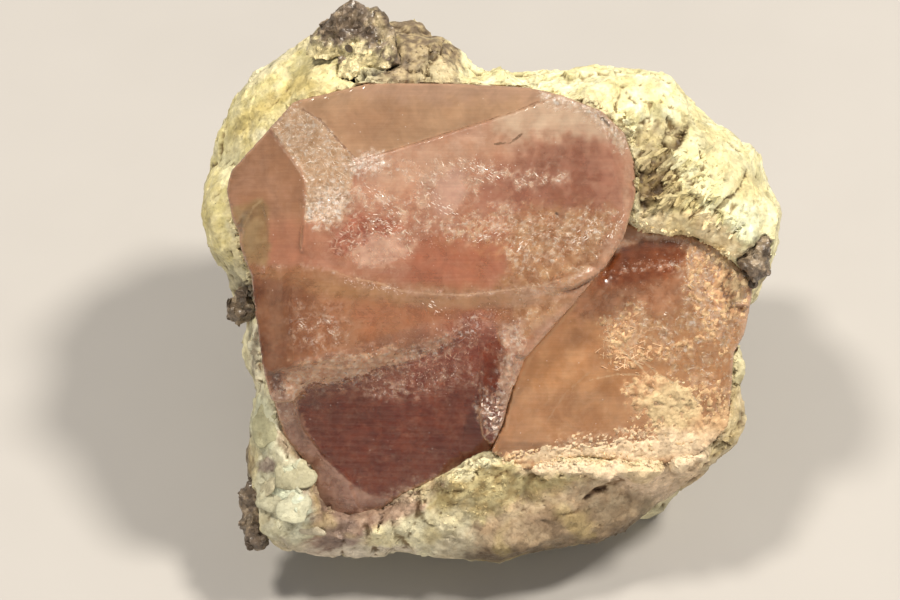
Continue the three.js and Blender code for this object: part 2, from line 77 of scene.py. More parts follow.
def noise(points, size, seed):
    """Smooth noise of about -1..1, with lumps of the given size."""
    q = points / np.asarray(size, float) + 17.31 * seed
    home = np.floor(q).astype(int)
    part = q - home
    fade = part**3 * (part * (part * 6 - 15) + 10)
    total = np.zeros(len(q))
    for corner in CORNERS:
        at = home + corner
        slope = GRADIENTS[hashed(at[:, 0], at[:, 1], at[:, 2])]
        weight = np.where(corner, fade, 1 - fade).prod(axis=1)
        total += weight * (slope * (part - corner)).sum(axis=1)
    return 1.7 * total


def rolling(points, size, octaves, seed):
    """Noise with finer noise on it."""
    size = np.asarray(size, float)
    return sum(noise(points, size / 2**k, seed + 3 * k) / 1.8**k for k in range(octaves))


def cells(points, size, seed):
    """Of the cell that each point is in: place from its centre, edge nearness and random numbers."""
    q = points / np.asarray(size, float) + 5.17 * seed
    home = np.floor(q).astype(int)
    first = np.full(len(q), 9.0)
    second = np.full(len(q), 9.0)
    who = np.zeros(len(q), int)
    place = np.zeros((len(q), 3))
    for offset in AROUND:
        at = home + offset
        name = hashed(at[:, 0], at[:, 1], at[:, 2])
        away = q - at - 0.15 - 0.7 * CELL_RANDOM[name, :3]
        far = np.linalg.norm(away, axis=1)
        nearer = far < first
        second = np.where(nearer, first, np.minimum(second, far))
        first = np.where(nearer, far, first)
        who = np.where(nearer, name, who)
        place = np.where(nearer[:, None], away, place)
    return place, second - first, CELL_RANDOM[who]


def fractured(points, size, seed):
    """A broken face: each cell ends in a plane of its own tilt. About -1..1."""
    place, _, random = cells(points, size, seed)
    return ((random[:, 3:] - 0.5) * place).sum(axis=1) * 1.6 + (random[:, 0] - 0.5) * 0.7


def step(x, low=0.0, high=1.0):
    """0 below low, 1 above high, and a smooth way between."""
    t = np.clip((x - low) / (high - low), 0, 1)
    return t * t * (3 - 2 * t)


def seen(points):
    """Where each point is seen from the viewer's place: right and down."""
    scale = VIEWER.z / (VIEWER.z - points[:, 2]) / SEEN_UNIT
    right = SEEN_MIDDLE[0] + (points[:, 0] - VIEWER.x) * scale
    down = SEEN_MIDDLE[1] - (points[:, 1] - VIEWER.y) * scale
    return np.column_stack((right, down))


def line_distance(points, line, closed=False):
    """Distance to a line through the given corners."""
    corners = np.asarray(line, float)
    ends = np.roll(corners, -1, axis=0) if closed else corners[1:]
    nearest = np.full(len(points), 1e9)
    for a, b in zip(corners, ends):
        along = np.clip(((points - a) @ (b - a)) / ((b - a) @ (b - a)), 0, 1)
        nearest = np.minimum(nearest, np.linalg.norm(points - a - along[:, None] * (b - a), axis=1))
    return nearest


def polygon_depth(points, corners):
    """How far inside a polygon each point lies, below 0 outside."""
    inside = np.zeros(len(points), bool)
    corners = np.asarray(corners, float)
    for a, b in zip(corners, np.roll(corners, -1, axis=0)):
        if a[1] != b[1]:
            crossing = a[0] + (points[:, 1] - a[1]) * (b[0] - a[0]) / (b[1] - a[1])
            inside ^= ((a[1] > points[:, 1]) != (b[1] > points[:, 1])) & (points[:, 0] < crossing)
    away = line_distance(points, corners, closed=True)
    return np.where(inside, away, -away)


def oval(x, y, wide, high, turn=0):
    """The outline of an oval by its middle, its half axes and its turn in degrees."""
    angles = np.linspace(0, 2 * pi, 18, endpoint=False)
    c, s = np.cos(radians(turn)), np.sin(radians(turn))
    a, b = wide * np.cos(angles), high * np.sin(angles)
    return np.column_stack((x + a * c + b * s, y - a * s + b * c))


@dataclass
class Layer:
    """A coat on a zone of the specimen. Sizes of the zone are in seen units, of noise in millimetres."""

    corners: list | np.ndarray  # of its outline, or of its middle line if it has a width
    soft: float = 2  # width of its soft edge
    torn: float = 0  # how far noise pushes its edge about
    tone: tuple = None
    light: tuple = None  # tone of the lighter grains in it
    grain: float = 2.4  # size of those grains
    width: float = None  # half the width of a band
    mix: float = 1  # share of its tone over what is under it
    tear: float = 2.2  # size of the noise along its edge
    sharp: tuple = (-0.5, 0.6)  # noise values between which grains turn light
    patches: float = None  # size of the patches that it is broken into
    broken: tuple = (-0.1, 0.3)  # noise values between which a patch starts
    cloud: tuple = None  # size of cloudy thin places in it, and how much is left there
    frost: float = None  # frosted skin
    glint: float = None  # painted glints: white flecks in the colour, over flaky relief
    wisp: float = None  # healed cracks
    crust: float = None  # crust that stands out of the skin
    calm: float = None  # how far the rock's relief is smoothed away
    lift: float = 0  # height in millimetres
    bumps: tuple = None  # height and size of bumps
    melt: float = 0  # how far edges under it are rounded off


def coverage(layer, place, fields):
    """How much of a layer lies on each place, 0..1. Its edge is soft, and torn by noise."""
    corners = np.array(layer.corners, float)
    margin = (layer.width or 0) + layer.soft + 2 * layer.torn
    near = ((place > corners.min(axis=0) - margin) & (place < corners.max(axis=0) + margin)).all(axis=1)
    spot = place[near]
    if layer.torn:
        pushed = [fields(layer.tear, seed)[near] for seed in (11, 16)]
        spot = spot + layer.torn * np.column_stack(pushed)
    if layer.width:
        depth = layer.width - line_distance(spot, corners)
    else:
        depth = polygon_depth(spot, corners)
    amount = np.zeros(len(place))
    amount[near] = step(depth / layer.soft + 0.5)
    if layer.patches:
        amount *= step(fields(layer.patches, 31), *layer.broken)
    if layer.cloud:
        size, least = layer.cloud
        amount *= least + (1 - least) * step(fields(size, 67), -0.5, 0.6)
    return amount


def tone(red, green, blue):
    """An sRGB colour as linear light."""
    c = np.array((red, green, blue)) / 255
    return ((c + 0.055) / 1.055) ** 2.4


def painted(points, facing, base, layers):
    """Colour, lift and skin over a surface from its base tones and layers, the later ones on top."""
    place = seen(points)
    kept = {}

    def fields(size, seed):
        if (size, seed) not in kept:
            kept[size, seed] = rolling(points, size, 4, seed)
        return kept[size, seed]

    colour = np.ones((len(points), 1)) * base
    lift = np.zeros(len(points))
    skin = {name: np.zeros(len(points)) for name in ("frost", "glint", "wisp", "crust", "calm")}
    for layer in layers:
        amount = coverage(layer, place, fields) * facing
        if layer.tone:
            fill = tone(*layer.tone)
            if layer.light:
                share = step(fields(layer.grain, 61), *layer.sharp)[:, None]
                fill = fill * (1 - share) + tone(*layer.light) * share
            share = (amount * layer.mix)[:, None]
            colour = colour * (1 - share) + fill * share
        for name, values in skin.items():
            level = getattr(layer, name)
            if level is not None:
                values += (level - values) * amount
        lift += layer.lift * amount
        if layer.bumps:
            height, size = layer.bumps
            lift += height * fields(size, 41) * amount
    return colour, lift, skin


# ---------- meshes ----------


def array_of(items, name):
    """A vector property of a mesh's items as rows of numbers."""
    values = np.empty(len(items) * 3, np.float32)
    items.foreach_get(name, values)
    return values.reshape(-1, 3).astype(float)


def welded(node):
    """A CAD node's mesh in the face frame, its corners joined."""
    form = bmesh.new()
    form.from_mesh(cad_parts[node].data)
    bmesh.ops.remove_doubles(form, verts=form.verts, dist=1e-6)
    form.transform(TO_FACE)
    return form


def refined(node, voxel, is_front):
    """An even mesh of a CAD node's shape in the face frame, twice as fine where is_front says so."""
    form = welded(node)
    source = bpy.data.meshes.new(node + "_source")
    form.to_mesh(source)
    tree = BVHTree.FromBMesh(form)
    form.free()
    holder = bpy.data.objects.new(node + "_source", source)
    bpy.context.scene.collection.objects.link(holder)
    remesh = holder.modifiers.new("even", "REMESH")
    remesh.mode = "VOXEL"
    remesh.voxel_size = voxel
    bpy.context.view_layer.update()
    even = bpy.data.meshes.new_from_object(holder.evaluated_get(bpy.context.evaluated_depsgraph_get()))
    bpy.data.objects.remove(holder)
    form = bmesh.new()
    form.from_mesh(even)
    form.normal_update()
    edges = {edge for face in form.faces if is_front(face) for edge in face.edges}
    bmesh.ops.subdivide_edges(form, edges=list(edges), cuts=1, use_grid_fill=True)
    form.to_mesh(even)
    form.free()
    return even, tree


def add_piece(name, mesh, node, material, sharp=None):
    """A mesh in the face frame made into a piece of the specimen that stands for a CAD node."""
    mesh.transform(FROM_FACE)
    mesh.update()
    mesh.materials.append(material)
    mesh.shade_smooth()
    if sharp is not None:
        mesh.set_sharp_from_angle(angle=radians(sharp))
    piece = bpy.data.objects.new(name, mesh)
    bpy.context.scene.collection.objects.link(piece)
    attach(piece, "root")
    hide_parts(node)


def set_points(mesh, points):
    mesh.vertices.foreach_set("co", points.astype(np.float32).ravel())
    mesh.update()


def neighbours(mesh):
    """The two ends of each edge of a mesh."""
    edges = np.empty(len(mesh.edges) * 2, np.int32)
    mesh.edges.foreach_get("vertices", edges)
    return edges.reshape(-1, 2).T


KEPT_SHARE = 0.4  # of a point's own value in each round of smoothing


def smoothed(mesh, values, rounds):
    """Values at a mesh's points, averaged with their neighbours a number of times."""
    a, b = neighbours(mesh)
    count = np.bincount(a, minlength=len(values)) + np.bincount(b, minlength=len(values))
    for _ in range(rounds):
        total = np.bincount(a, values[b], len(values)) + np.bincount(b, values[a], len(values))
        values = KEPT_SHARE * values + (1 - KEPT_SHARE) * total / count
    return values


def melted(mesh, points, layers, rounds):
    """The mesh's points with its edges rounded off where the layers say so."""
    place = seen(points)
    share = np.zeros(len(points))
    for layer in layers:
        if layer.melt:
            share = np.maximum(share, layer.melt * coverage(layer, place, None))
    moving = share > 0
    a, b = neighbours(mesh)
    near = moving[a] | moving[b]
    a, b = a[near], b[near]
    many = len(points)
    count = np.maximum(np.bincount(a, minlength=many) + np.bincount(b, minlength=many), 1)
    soft = points.copy()
    for _ in range(rounds):
        for i in range(3):
            total = np.bincount(a, soft[b, i], many) + np.bincount(b, soft[a, i], many)
            mixed = KEPT_SHARE * soft[:, i] + (1 - KEPT_SHARE) * total / count
            soft[moving, i] = mixed[moving]
    return points + (soft - points) * share[:, None]


SURFACES = {}  # the finished surfaces in the face frame, for small pieces to lie on


def tree_of(mesh):
    form = bmesh.new()
    form.from_mesh(mesh)
    tree = BVHTree.FromBMesh(form)
    form.free()
    return tree


def landing(right, down, nodes):
    """Place and normal of the surface that is seen there, or None if it isn't one of these nodes'."""
    x = (right - SEEN_MIDDLE[0]) * SEEN_UNIT
    y = (SEEN_MIDDLE[1] - down) * SEEN_UNIT
    target = VIEWER + Vector((x, y, -VIEWER.z))
    best = None
    for node, tree in SURFACES.items():
        place, normal, _, far = tree.ray_cast(VIEWER, target - VIEWER)
        if place is not None and (best is None or far < best[0]):
            best = (far, node, place, normal)
    return best[2:] if best and best[1] in nodes else None


def set_colour(mesh, name, colour):
    layer = mesh.color_attributes.new(name, "FLOAT_COLOR", "POINT")
    full = np.column_stack((np.clip(colour, 0, 1), np.ones(len(colour)))).astype(np.float32)
    layer.data.foreach_set("color", full.ravel())


def set_value(mesh, name, values):
    layer = mesh.attributes.new(name, "FLOAT", "POINT")
    layer.data.foreach_set("value", values.astype(np.float32))


# ---------- materials ----------


class Nodes:
    """A material's node tree with short calls to build it."""

    def __init__(self, name):
        self.material = bpy.data.materials.new(name)
        self.material.use_nodes = True
        self.tree = self.material.node_tree
        self.shader = self.tree.nodes["Principled BSDF"]
        self.output = self.tree.nodes["Material Output"]
        where = self.add("ShaderNodeTexCoord").outputs["Object"]
        mapping = self.add("ShaderNodeMapping", Vector=where)
        mapping.vector_type = "TEXTURE"
        mapping.inputs["Location"].default_value = FACE.to_translation()
        mapping.inputs["Rotation"].default_value = FACE.to_euler()
        mapping.inputs["Scale"].default_value = (MM, MM, MM)
        self.place = mapping.outputs[0]

    def add(self, kind, **inputs):
        """A new node with its inputs set, an underscore in a name standing for a space."""
        node = self.tree.nodes.new(kind)
        for name, value in inputs.items():
            self.put(node.inputs[name.replace("_", " ")], value)
        return node

    def put(self, socket, value):
        if isinstance(value, bpy.types.NodeSocket):
            self.tree.links.new(value, socket)
        else:
            socket.default_value = value

    def attribute(self, name, output="Fac"):
        node = self.add("ShaderNodeAttribute")
        node.attribute_name = name
        return node.outputs[output]

    def stretched(self, scale, turn):
        """Places for a pattern that is drawn out by unlike scales and turned."""
        return self.add("ShaderNodeMapping", Vector=self.place, Rotation=turn, Scale=scale).outputs[0]

    def noise(self, size, detail=3, stretch=None, rough=0.55, distortion=0.0):
        """Cloudy noise of about 0.3..0.7, its lumps of the given size in millimetres."""
        place = self.stretched(*stretch) if stretch else self.place
        node = self.add("ShaderNodeTexNoise", Vector=place, Scale=1 / size, Detail=detail, Roughness=rough)
        node.inputs["Distortion"].default_value = distortion
        return node.outputs["Fac"]

    def dots(self, size, low, high):
        """Round dots, 1 inside, one in each patch of the given size."""
        far = self.add("ShaderNodeTexVoronoi", Vector=self.place, Scale=1 / size).outputs["Distance"]
        return self.ramp(far, low, high, 1, 0)

    def flakes(self, size, stretch=None):
        """Angular flakes of the given size, each with a random value, most of them near 0.5."""
        place = self.stretched(*stretch) if stretch else self.place
        return self.add("ShaderNodeTexVoronoi", Vector=place, Scale=1 / size).outputs["Color"]

    def vector(self, operation, a, b=(0, 0, 0), output="Vector"):
        node = self.add("ShaderNodeVectorMath")
        node.operation = operation
        self.put(node.inputs[0], a)
        self.put(node.inputs["Scale" if operation == "SCALE" else 1], b)
        return node.outputs[output]

    def patches(self, size):
        """In patches of the given size: the way from each patch's middle, and its random direction."""
        node = self.add("ShaderNodeTexVoronoi", Vector=self.place, Scale=1 / size)
        away = self.vector("SUBTRACT", self.place, node.outputs["Position"])
        return away, self.vector("SUBTRACT", node.outputs["Color"], (0.5, 0.5, 0.5))

    def facets(self, size):
        """Flakes of the given size, each with a tilt of its own: their height in millimetres."""
        away, tilt = self.patches(size)
        return self.vector("DOT_PRODUCT", away, tilt, output="Value")

    def strokes(self, size, gap):
        """Straight hair lines a gap apart, 1 on a line, with a turn of their own in each patch."""
        away, turn = self.patches(size)
        across = self.vector("DOT_PRODUCT", away, self.vector("NORMALIZE", turn), output="Value")
        return self.ramp(self.math("PINGPONG", across, gap), 0, 0.3 * gap, 1, 0)

    def line(self, corners):
        """Distance in millimetres to a line through corners in the face frame."""
        nearest = None
        for a, b in zip(corners, corners[1:]):
            along = b - a
            away = self.vector("SUBTRACT", self.place, a)
            share = self.vector("DOT_PRODUCT", away, along / along.length_squared, output="Value")
            share = self.math("MINIMUM", self.math("MAXIMUM", share, 0.0), 1.0)
            gap = self.vector("DISTANCE", away, self.vector("SCALE", tuple(along), share), output="Value")
            nearest = gap if nearest is None else self.math("MINIMUM", nearest, gap)
        return nearest

    def ramp(self, value, low, high, to_low=0.0, to_high=1.0):
        """A value's smooth way from to_low, where it is low, to to_high, where it is high."""
        node = self.add("ShaderNodeMapRange")
        node.interpolation_type = "SMOOTHSTEP"
        for i, item in enumerate((value, low, high, to_low, to_high)):
            self.put(node.inputs[i], item)
        return node.outputs[0]

    def math(self, operation, a, b=0.0):
        node = self.add("ShaderNodeMath")
        node.operation = operation
        self.put(node.inputs[0], a)
        self.put(node.inputs[1], b)
        return node.outputs[0]

    def times(self, a, b):
        return self.math("MULTIPLY", a, b)

    def mix(self, share, a, b, blend="MIX"):
        node = self.add("ShaderNodeMix")
        node.data_type = "RGBA"
        node.blend_type = blend
        self.put(node.inputs["Factor"], share)
        self.put(node.inputs[6], a)
        self.put(node.inputs[7], b)
        return node.outputs[2]

    def bump(self, height, millimetres, strength, normal=None):
        """The normal on a bump, its height scaled to millimetres, over another normal."""
        node = self.add("ShaderNodeBump", Height=height, Distance=millimetres * MM, Strength=strength)
        if normal is not None:
            self.put(node.inputs["Normal"], normal)
        return node.outputs[0]

    def set(self, **inputs):
        """Sets the shader's own inputs."""
        for name, value in inputs.items():
            self.put(self.shader.inputs[name.replace("_", " ")], value)


BERYL_IOR = 1.58


def rgba(red, green, blue):
    return (*tone(red, green, blue), 1)


def beryl(name, lines, absorbed):
    """Translucent beryl: painted zones, clouds and healed cracks, flaky where frosted, with
    white flecks painted in as glints, hair lines (corners, width, colour), and absorption inside."""
    n = Nodes(name)
    frost = n.attribute("frost")
    glint = n.attribute("glint")
    wisp = n.attribute("wisp")
    cloud = n.ramp(n.noise(4.5, 5, rough=0.6, distortion=0.7), 0.3, 0.7, 0.86, 1.13)
    colour = n.mix(1.0, n.attribute("paint", "Color"), cloud, "MULTIPLY")
    bloom = n.ramp(n.noise(2.2, 5, rough=0.68, distortion=0.9), 0.5, 0.72)
    colour = n.mix(n.times(bloom, n.ramp(frost, 0, 1, 0.08, 0.5)), colour, rgba(236, 198, 168))
    web = n.math("ABSOLUTE", n.math("SUBTRACT", n.noise(2.4, 4, rough=0.6, distortion=1.6), 0.5))
    web = n.times(n.ramp(web, 0.0, 0.022, 1, 0), n.ramp(n.noise(1.6, 3), 0.42, 0.62))
    colour = n.mix(n.times(web, n.ramp(wisp, 0, 1, 0.03, 0.3)), colour, rgba(246, 226, 198))
    flake = n.ramp(n.flakes(0.7), 0.35, 0.9, 0, 0.45)
    colour = n.mix(n.times(flake, frost), colour, rgba(242, 210, 182))
    streak = n.noise(0.5, 3, ((0.05, 1.5, 0.3), (0, 0, 0)))
    colour = n.mix(1.0, colour, n.ramp(streak, 0.3, 0.7, 0.95, 1.05), "MULTIPLY")
    strokes = n.math("MAXIMUM", n.strokes(1.9, 0.42), n.strokes(1.2, 0.3))
    strokes = n.times(strokes, n.ramp(n.noise(0.9, 3), 0.46, 0.6))
    scratched = n.times(strokes, n.ramp(wisp, 0.2, 1, 0, 0.75))
    colour = n.mix(scratched, colour, rgba(252, 232, 204))
    # white flecks and short strokes painted into the colour: painted glints off tiny facets
    speck = n.math("MAXIMUM", n.strokes(0.8, 0.3), n.ramp(n.flakes(0.55), 0.6, 0.75))
    speck = n.times(speck, n.ramp(n.noise(0.7, 2), 0.46, 0.56))
    speck = n.math("MAXIMUM", n.times(speck, glint), n.times(n.dots(1.9, 0.03, 0.07), 0.5))
    # white shard shapes painted where healed cracks are thick: painted glints of glassy chips
    painted_splinter_glints = n.flakes(0.5, ((1, 0.35, 1), (0, 0, 0.9)))
    painted_splinter_glints = n.math("MAXIMUM", painted_splinter_glints, n.flakes(0.45, ((0.4, 1, 1), (0, 0, 0.3))))
    painted_splinter_glints = n.times(n.ramp(painted_splinter_glints, 0.84, 0.9), n.ramp(n.noise(1.5, 3), 0.46, 0.6))
    painted_splinter_glints = n.times(painted_splinter_glints, n.ramp(wisp, 0.4, 1, 0, 0.6))
    colour = n.mix(n.math("MAXIMUM", speck, painted_splinter_glints), colour, (1, 0.95, 0.88, 1))
    skin = n.noise(1.1, 4)
    normal = n.bump(streak, 0.012, 0.4)
    normal = n.bump(skin, 0.12, n.ramp(frost, 0, 1, 0.1, 1), normal)
    normal = n.bump(scratched, 0.12, 0.8, normal)
    normal = n.bump(n.facets(0.9), 0.6, n.ramp(frost, 0.1, 1, 0, 0.6), normal)
    normal = n.bump(n.facets(0.4), 0.6, n.ramp(glint, 0, 1, 0, 0.7), normal)
    broken = n.ramp(n.noise(0.8, 3), 0.3, 0.6, 0.3, 0.8)
    sway = n.ramp(n.noise(0.9, 3), 0.3, 0.7, -0.13, 0.13)
    for corners, width, shade in lines:
        near = n.math("ADD", n.line(corners), sway)
        mark = n.times(n.ramp(near, 0.2 * width, width, 1, 0), broken)
        colour = n.mix(mark, colour, rgba(*shade))
    rough = n.math("ADD", n.ramp(frost, 0, 1, 0.1, 0.36), n.times(skin, 0.1))
    n.set(Base_Color=colour, Roughness=rough, Normal=normal, IOR=BERYL_IOR, Transmission_Weight=0.55)
    n.set(Coat_Weight=0.1, Coat_Roughness=0.06)
    volume = n.add("ShaderNodeVolumeAbsorption", Color=absorbed, Density=14)
    n.tree.links.new(volume.outputs[0], n.output.inputs["Volume"])
    return n.material


def albite(name, broken=0.7):
    """Cream albite: painted ground, cloudy and stained, darker brown in its recesses as stain and painted
    shade, with a sugary, flaky, broken skin.
    """
    n = Nodes(name)
    cloud = n.ramp(n.noise(4, 4, rough=0.65), 0.3, 0.7, 0.84, 1.1)
    colour = n.mix(1.0, n.attribute("paint", "Color"), cloud, "MULTIPLY")
    stain = n.ramp(n.noise(1.6, 5, rough=0.72, distortion=0.6), 0.5, 0.72)
    colour = n.mix(n.times(stain, 0.42), colour, rgba(170, 150, 112), "MULTIPLY")
    # recesses darker brown: partly staining, partly painted shade
    hollow_shade_and_stain = n.ramp(n.attribute("hollow_shade_and_stain"), 0, 1, 0, 0.85)
    colour = n.mix(hollow_shade_and_stain, colour, rgba(132, 110, 78), "MULTIPLY")
    colour = n.mix(1.0, colour, n.ramp(n.flakes(0.6), 0.2, 0.9, 0.9, 1.1), "MULTIPLY")
    speck = n.times(n.dots(1.5, 0.05, 0.13), n.ramp(n.noise(5, 3), 0.48, 0.6))
    colour = n.mix(n.times(speck, 0.75), colour, rgba(104, 88, 68))
    normal = n.bump(n.noise(1.2, 5, rough=0.65), 0.3, broken)
    normal = n.bump(n.facets(1.5), 0.8, broken, normal)
    normal = n.bump(n.facets(0.6), 0.8, broken, normal)
    rough = n.ramp(n.noise(0.8, 3), 0.3, 0.7, 0.42, 0.8)
    n.set(Base_Color=colour, Roughness=rough, Normal=normal, Specular_IOR_Level=0.4)
    return n.material


def mica(name):
    """Grey-brown lepidolite: small pearly plates, each with its own tilt and tone."""
    n = Nodes(name)
    plates = n.ramp(n.flakes(0.9), 0.15, 0.85, 0.72, 1.3)
    colour = n.mix(1.0, n.attribute("paint", "Color"), plates, "MULTIPLY")
    dark = n.ramp(n.noise(0.5, 4), 0.52, 0.72)
    colour = n.mix(n.times(dark, 0.5), colour, rgba(70, 58, 50))
    normal = n.bump(n.noise(0.7, 5), 0.15, 0.6)
    normal = n.bump(n.facets(1.1), 0.9, 0.9, normal)
    normal = n.bump(n.facets(0.45), 0.8, 0.7, normal)
    rough = n.ramp(n.noise(0.7, 3), 0.3, 0.7, 0.25, 0.6)
    n.set(Base_Color=colour, Roughness=rough, Normal=normal, Coat_Weight=0.2, Coat_Roughness=0.2)
    return n.material


# ---------- the main crystal ----------

# The tones and lights that several zones have.
PALE = ((186, 138, 114), (212, 172, 146))
STRAW_PALE = ((176, 128, 88), (210, 168, 124))

UPPER_EDGE = [(357, 160), (400, 148), (450, 132), (510, 113), (545, 99)]

